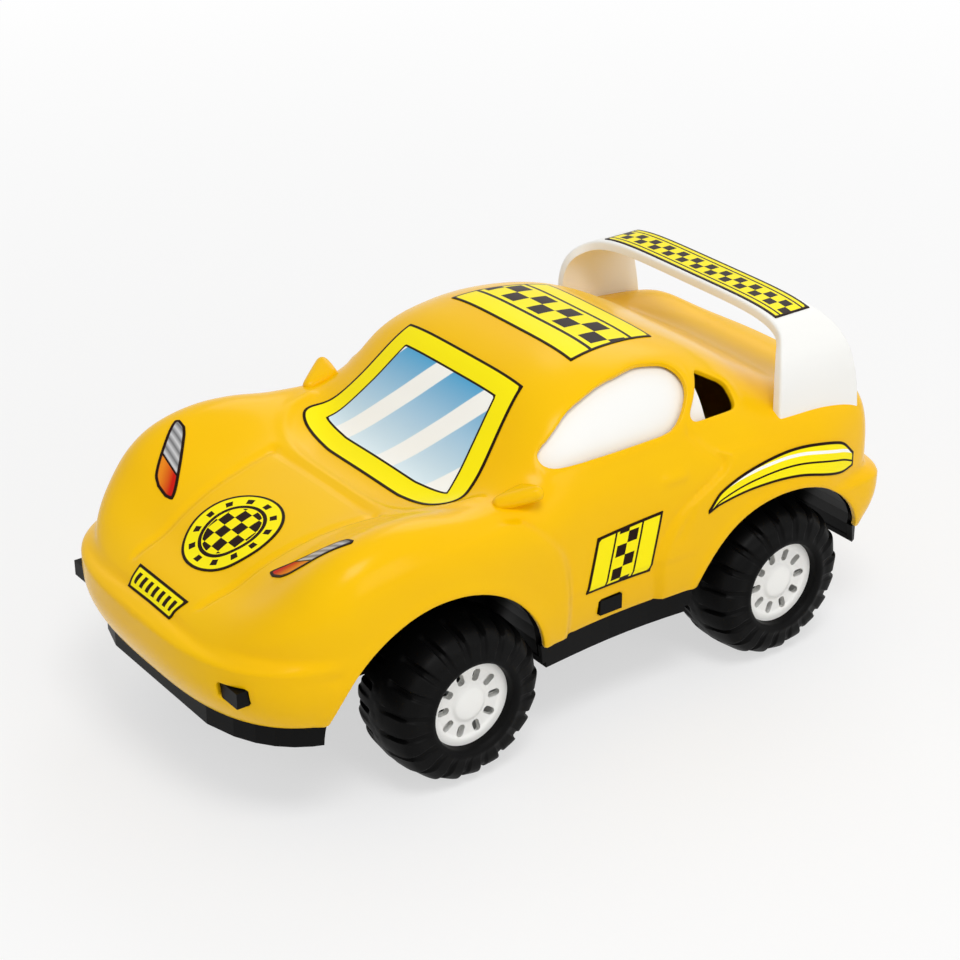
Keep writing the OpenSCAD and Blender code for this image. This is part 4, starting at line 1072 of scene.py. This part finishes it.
def round_badge(tree, along, across, edge):
    """Draws a checkered disc inside an inked ring with ticks."""
    disc = add_node(tree, "ShaderNodeMath", {0: edge, 1: BADGE_R * DISC_AT}, operation="GREATER_THAN")
    inner = add_node(tree, "ShaderNodeMix", {
        0: disc.outputs[0], 6: LEMON, 7: checkers(tree, along, across, BADGE_CELL)}, data_type="RGBA")
    ring = add_node(tree, "ShaderNodeMath", {
        0: edge, 1: BADGE_R * RING_AT, 2: RING_HALF}, operation="COMPARE")
    way = add_node(tree, "ShaderNodeMath", {0: along, 1: across}, operation="ARCTAN2")
    beat = add_node(tree, "ShaderNodeMath", {0: way.outputs[0], 1: TICK_TURN}, operation="PINGPONG")
    tick = add_node(tree, "ShaderNodeMath", {0: beat.outputs[0], 1: TICK_TURN / 3}, operation="LESS_THAN")
    belt = add_node(tree, "ShaderNodeMath", {
        0: edge, 1: BADGE_R * BELT_AT, 2: BELT_HALF}, operation="COMPARE")
    ticks = add_node(tree, "ShaderNodeMath", {0: tick.outputs[0], 1: belt.outputs[0]}, operation="MULTIPLY")
    marks = add_node(tree, "ShaderNodeMath", {0: ring.outputs[0], 1: ticks.outputs[0]}, operation="MAXIMUM")
    return add_node(tree, "ShaderNodeMix", {
        0: marks.outputs[0], 6: inner.outputs[2], 7: INK}, data_type="RGBA").outputs[2]


badge_print = printed("printed_vinyl_badge", round_badge)
sticker("bonnet_film", row_patch(BADGE_ROWS, "up", (BADGE_STEPS, 40)), skin_tree, "up", badge_print,
        "bonnet_sticker")

# %% [markdown]
# ### Grille, lamps and flashes
# The nose has a barred grille and two headlamps, and each rear fender has a flash. The left ones are drawn,
# and the right ones are their mirror images.

# %% Grille, lamp and flash stickers
GRILLE_ROWS = [[0, .022, -.19, .19], [1, .045, -.22, .22]]
LAMP_ROWS = [[0, .118, .48, .55], [.12, .123, .44, .6], [.5, .149, .54, .69], [.88, .177, .67, .77],
             [1, .183, .71, .76]]
FLASH_ROWS = [[0, .668, .19, .21, 0], [.12, .688, .22, .3, 0], [.35, .745, .25, .38, 0],
              [.6, .81, .24, .4, 0], [.85, .885, .16, .34, 0], [1, .915, .16, .24, 0]]
BAR_MM, BAR_EDGE = 2.2, 2.6                       # width of a bar of the grille, and of its margin
LENS_AT, LENS_BAR, RIB_MM, WARM_HALF = -4.0, 0.6, 2.4, 4.0
# The pale streak across the flash is a painted highlight, drawn in white ink.
PAINTED_HIGHLIGHT, FLASH_LINE = (3.2, 0.7), (-1.0, 0.45)     # place across the flash, and half width


def grille_bars(tree, along, across, edge):
    """Draws upright bars inside a yellow margin."""
    wave = add_node(tree, "ShaderNodeMath", {0: across, 1: BAR_MM}, operation="PINGPONG")
    bar = add_node(tree, "ShaderNodeMath", {0: wave.outputs[0], 1: BAR_MM / 2}, operation="LESS_THAN")
    panel = add_node(tree, "ShaderNodeMath", {0: edge, 1: BAR_EDGE}, operation="GREATER_THAN")
    inked = add_node(tree, "ShaderNodeMath", {0: bar.outputs[0], 1: panel.outputs[0]}, operation="MULTIPLY")
    return add_node(tree, "ShaderNodeMix", {
        0: inked.outputs[0], 6: LEMON, 7: INK}, data_type="RGBA").outputs[2]


def lamp_lens(tree, along, across, edge):
    """Draws an amber and red front under a grey ribbed lens."""
    warm = add_node(tree, "ShaderNodeMapRange", {
        "Value": across, "From Min": -WARM_HALF, "From Max": WARM_HALF})
    front = add_node(tree, "ShaderNodeMix", {
        0: warm.outputs["Result"], 6: linear("#E8871E"), 7: linear("#C81E12")}, data_type="RGBA")
    rib = add_node(tree, "ShaderNodeMath", {0: along, 1: RIB_MM}, operation="PINGPONG")
    shade = add_node(tree, "ShaderNodeMapRange", {"Value": rib.outputs[0], "From Max": RIB_MM})
    lens = add_node(tree, "ShaderNodeMix", {
        0: shade.outputs["Result"], 6: linear("#6E6E70"), 7: linear("#C9C9CB")}, data_type="RGBA")
    split = add_node(tree, "ShaderNodeMath", {0: along, 1: LENS_AT}, operation="GREATER_THAN")
    both = add_node(tree, "ShaderNodeMix", {
        0: split.outputs[0], 6: front.outputs[2], 7: lens.outputs[2]}, data_type="RGBA")
    bar = add_node(tree, "ShaderNodeMath", {0: along, 1: LENS_AT, 2: LENS_BAR}, operation="COMPARE")
    return add_node(tree, "ShaderNodeMix", {
        0: bar.outputs[0], 6: both.outputs[2], 7: INK}, data_type="RGBA").outputs[2]


def speed_flash(tree, along, across, edge):
    """Draws a painted highlight as a pale streak, and an inked line along the flash."""
    colour = LEMON
    # The pale line is a painted highlight in white; the dark one is ink.
    for (at, half), ink in ((PAINTED_HIGHLIGHT, PAPER), (FLASH_LINE, INK)):
        line = add_node(tree, "ShaderNodeMath", {0: across, 1: at, 2: half}, operation="COMPARE")
        colour = add_node(tree, "ShaderNodeMix", {
            0: line.outputs[0], 6: colour, 7: ink}, data_type="RGBA").outputs[2]
    return colour


grille_print = printed("printed_vinyl_grille", grille_bars)
lamp_print = printed("printed_vinyl_lamp", lamp_lens)
flash_print = printed("printed_vinyl_flash", speed_flash)
sticker("grille_film", row_patch(GRILLE_ROWS, "up", (14, 40)), skin_tree, "up", grille_print,
        "grille_sticker")
for side in ("left", "right"):
    sticker(side + "_lamp_film", row_patch(LAMP_ROWS, "up", (36, 16)), skin_tree, "up", lamp_print,
            side + "_lamp_sticker", side == "right")
    sticker(side + "_flash_film", row_patch(FLASH_ROWS, "left", (70, 14)), skin_tree, "left", flash_print,
            side + "_fender_sticker", side == "right")

# %% [markdown]
# ## Floor, light and camera
# The toy stands on a white sweep under soft boxes. The floor shows white to the camera and still takes the
# shadow. The camera stands where the photograph was taken: a little above the nose, on the left.

# %% Floor and world
FLOOR_HALF = 6.0
SHADOW_SHARE = 0.4        # how much of the lit paper shows beside the toy
FADE_M = (0.3, 1.1)       # distances over which the paper turns to plain white


def white_to_camera(tree):
    """Factor that is 1 for rays that should see plain white and 0 for those that light the toy."""
    path = add_node(tree, "ShaderNodeLightPath").outputs
    seen = add_node(tree, "ShaderNodeMath", {
        0: path["Is Camera Ray"], 1: path["Is Glossy Ray"]}, operation="MAXIMUM")
    return add_node(tree, "ShaderNodeMath", {
        0: seen.outputs[0], 1: path["Is Transmission Ray"]}, operation="MAXIMUM").outputs[0]


corners = [(x, y, 0) for x, y in ((-1, -1), (1, -1), (1, 1), (-1, 1))]
floor_mesh = bpy.data.meshes.new("floor")
floor_mesh.from_pydata([Vector(c) * FLOOR_HALF for c in corners], [], [(0, 1, 2, 3)])
floor = bpy.data.objects.new("floor", floor_mesh)
bpy.context.scene.collection.objects.link(floor)
paper, tree = new_material("white_paper_sweep")
matte = add_node(tree, "ShaderNodeBsdfDiffuse", {"Color": linear("#F2F2F2")})
glow = add_node(tree, "ShaderNodeEmission", {"Color": linear("#FFFFFF"), "Strength": 1.0})
place = add_node(tree, "ShaderNodeTexCoord").outputs["Object"]
away = add_node(tree, "ShaderNodeVectorMath", {0: place}, operation="LENGTH")
share = add_node(tree, "ShaderNodeMapRange", {"Value": away.outputs["Value"], "From Min": FADE_M[0],
                 "From Max": FADE_M[1], "To Min": 1 - SHADOW_SHARE, "To Max": 1.0})
seen = add_node(tree, "ShaderNodeMath", {
    0: white_to_camera(tree), 1: share.outputs["Result"]}, operation="MULTIPLY")
blend = add_node(tree, "ShaderNodeMixShader", {0: seen.outputs[0], 1: matte.outputs[0], 2: glow.outputs[0]})
add_node(tree, "ShaderNodeOutputMaterial", {"Surface": blend.outputs[0]})
floor_mesh.materials.append(paper)

world = bpy.data.worlds.new("studio")
bpy.context.scene.world = world
world.use_nodes = True
world.node_tree.nodes.clear()
AMBIENT = 0.54
soft = add_node(world.node_tree, "ShaderNodeBackground", {"Color": linear("#FFFFFF"), "Strength": AMBIENT})
white = add_node(world.node_tree, "ShaderNodeBackground", {"Color": linear("#FFFFFF"), "Strength": 1.0})
choice = add_node(world.node_tree, "ShaderNodeMixShader", {0: white_to_camera(world.node_tree),
                  1: soft.outputs[0], 2: white.outputs[0]})
add_node(world.node_tree, "ShaderNodeOutputWorld", {"Surface": choice.outputs[0]})
print("ambient strength:", AMBIENT)

# %% [markdown]
# ### Soft boxes and camera
# Three soft boxes give the broad highlights of a product picture: one above the nose, one from the left and
# one from behind. The camera was solved from the wheels in the photograph.

# %% Lights and camera
LAMPS = [("key_box", (0.7, -0.3, 1.6), 0.6, 11.0), ("side_box", (1.6, 0.3, 0.8), 0.9, 4.5),
         ("back_box", (-1.0, 1.2, 1.4), 1.0, 6.0)]
AIM = Vector((0, 0, 0.07))
for name, place, size, power in LAMPS:
    lamp = bpy.data.lights.new(name, "AREA")
    lamp.size = size
    lamp.energy = power
    holder = bpy.data.objects.new(name, lamp)
    holder.location = place
    holder.rotation_euler = (AIM - Vector(place)).to_track_quat("-Z", "Y").to_euler()
    bpy.context.scene.collection.objects.link(holder)

CAMERA_AT, CAMERA_WAY = Vector((0.6957, -0.5123, 0.5193)), Vector((-0.7174, 0.5285, -0.454))
LENS_MM, SENSOR_MM = 88.17, 36
lens = bpy.data.cameras.new("camera")
lens.lens, lens.sensor_width = LENS_MM, SENSOR_MM
camera = bpy.data.objects.new("camera", lens)
camera.location = CAMERA_AT
camera.rotation_euler = CAMERA_WAY.to_track_quat("-Z", "Y").to_euler()
bpy.context.scene.collection.objects.link(camera)
bpy.context.scene.camera = camera
bpy.context.scene.view_settings.view_transform = "Standard"
print("lamps:", [row[0] for row in LAMPS])
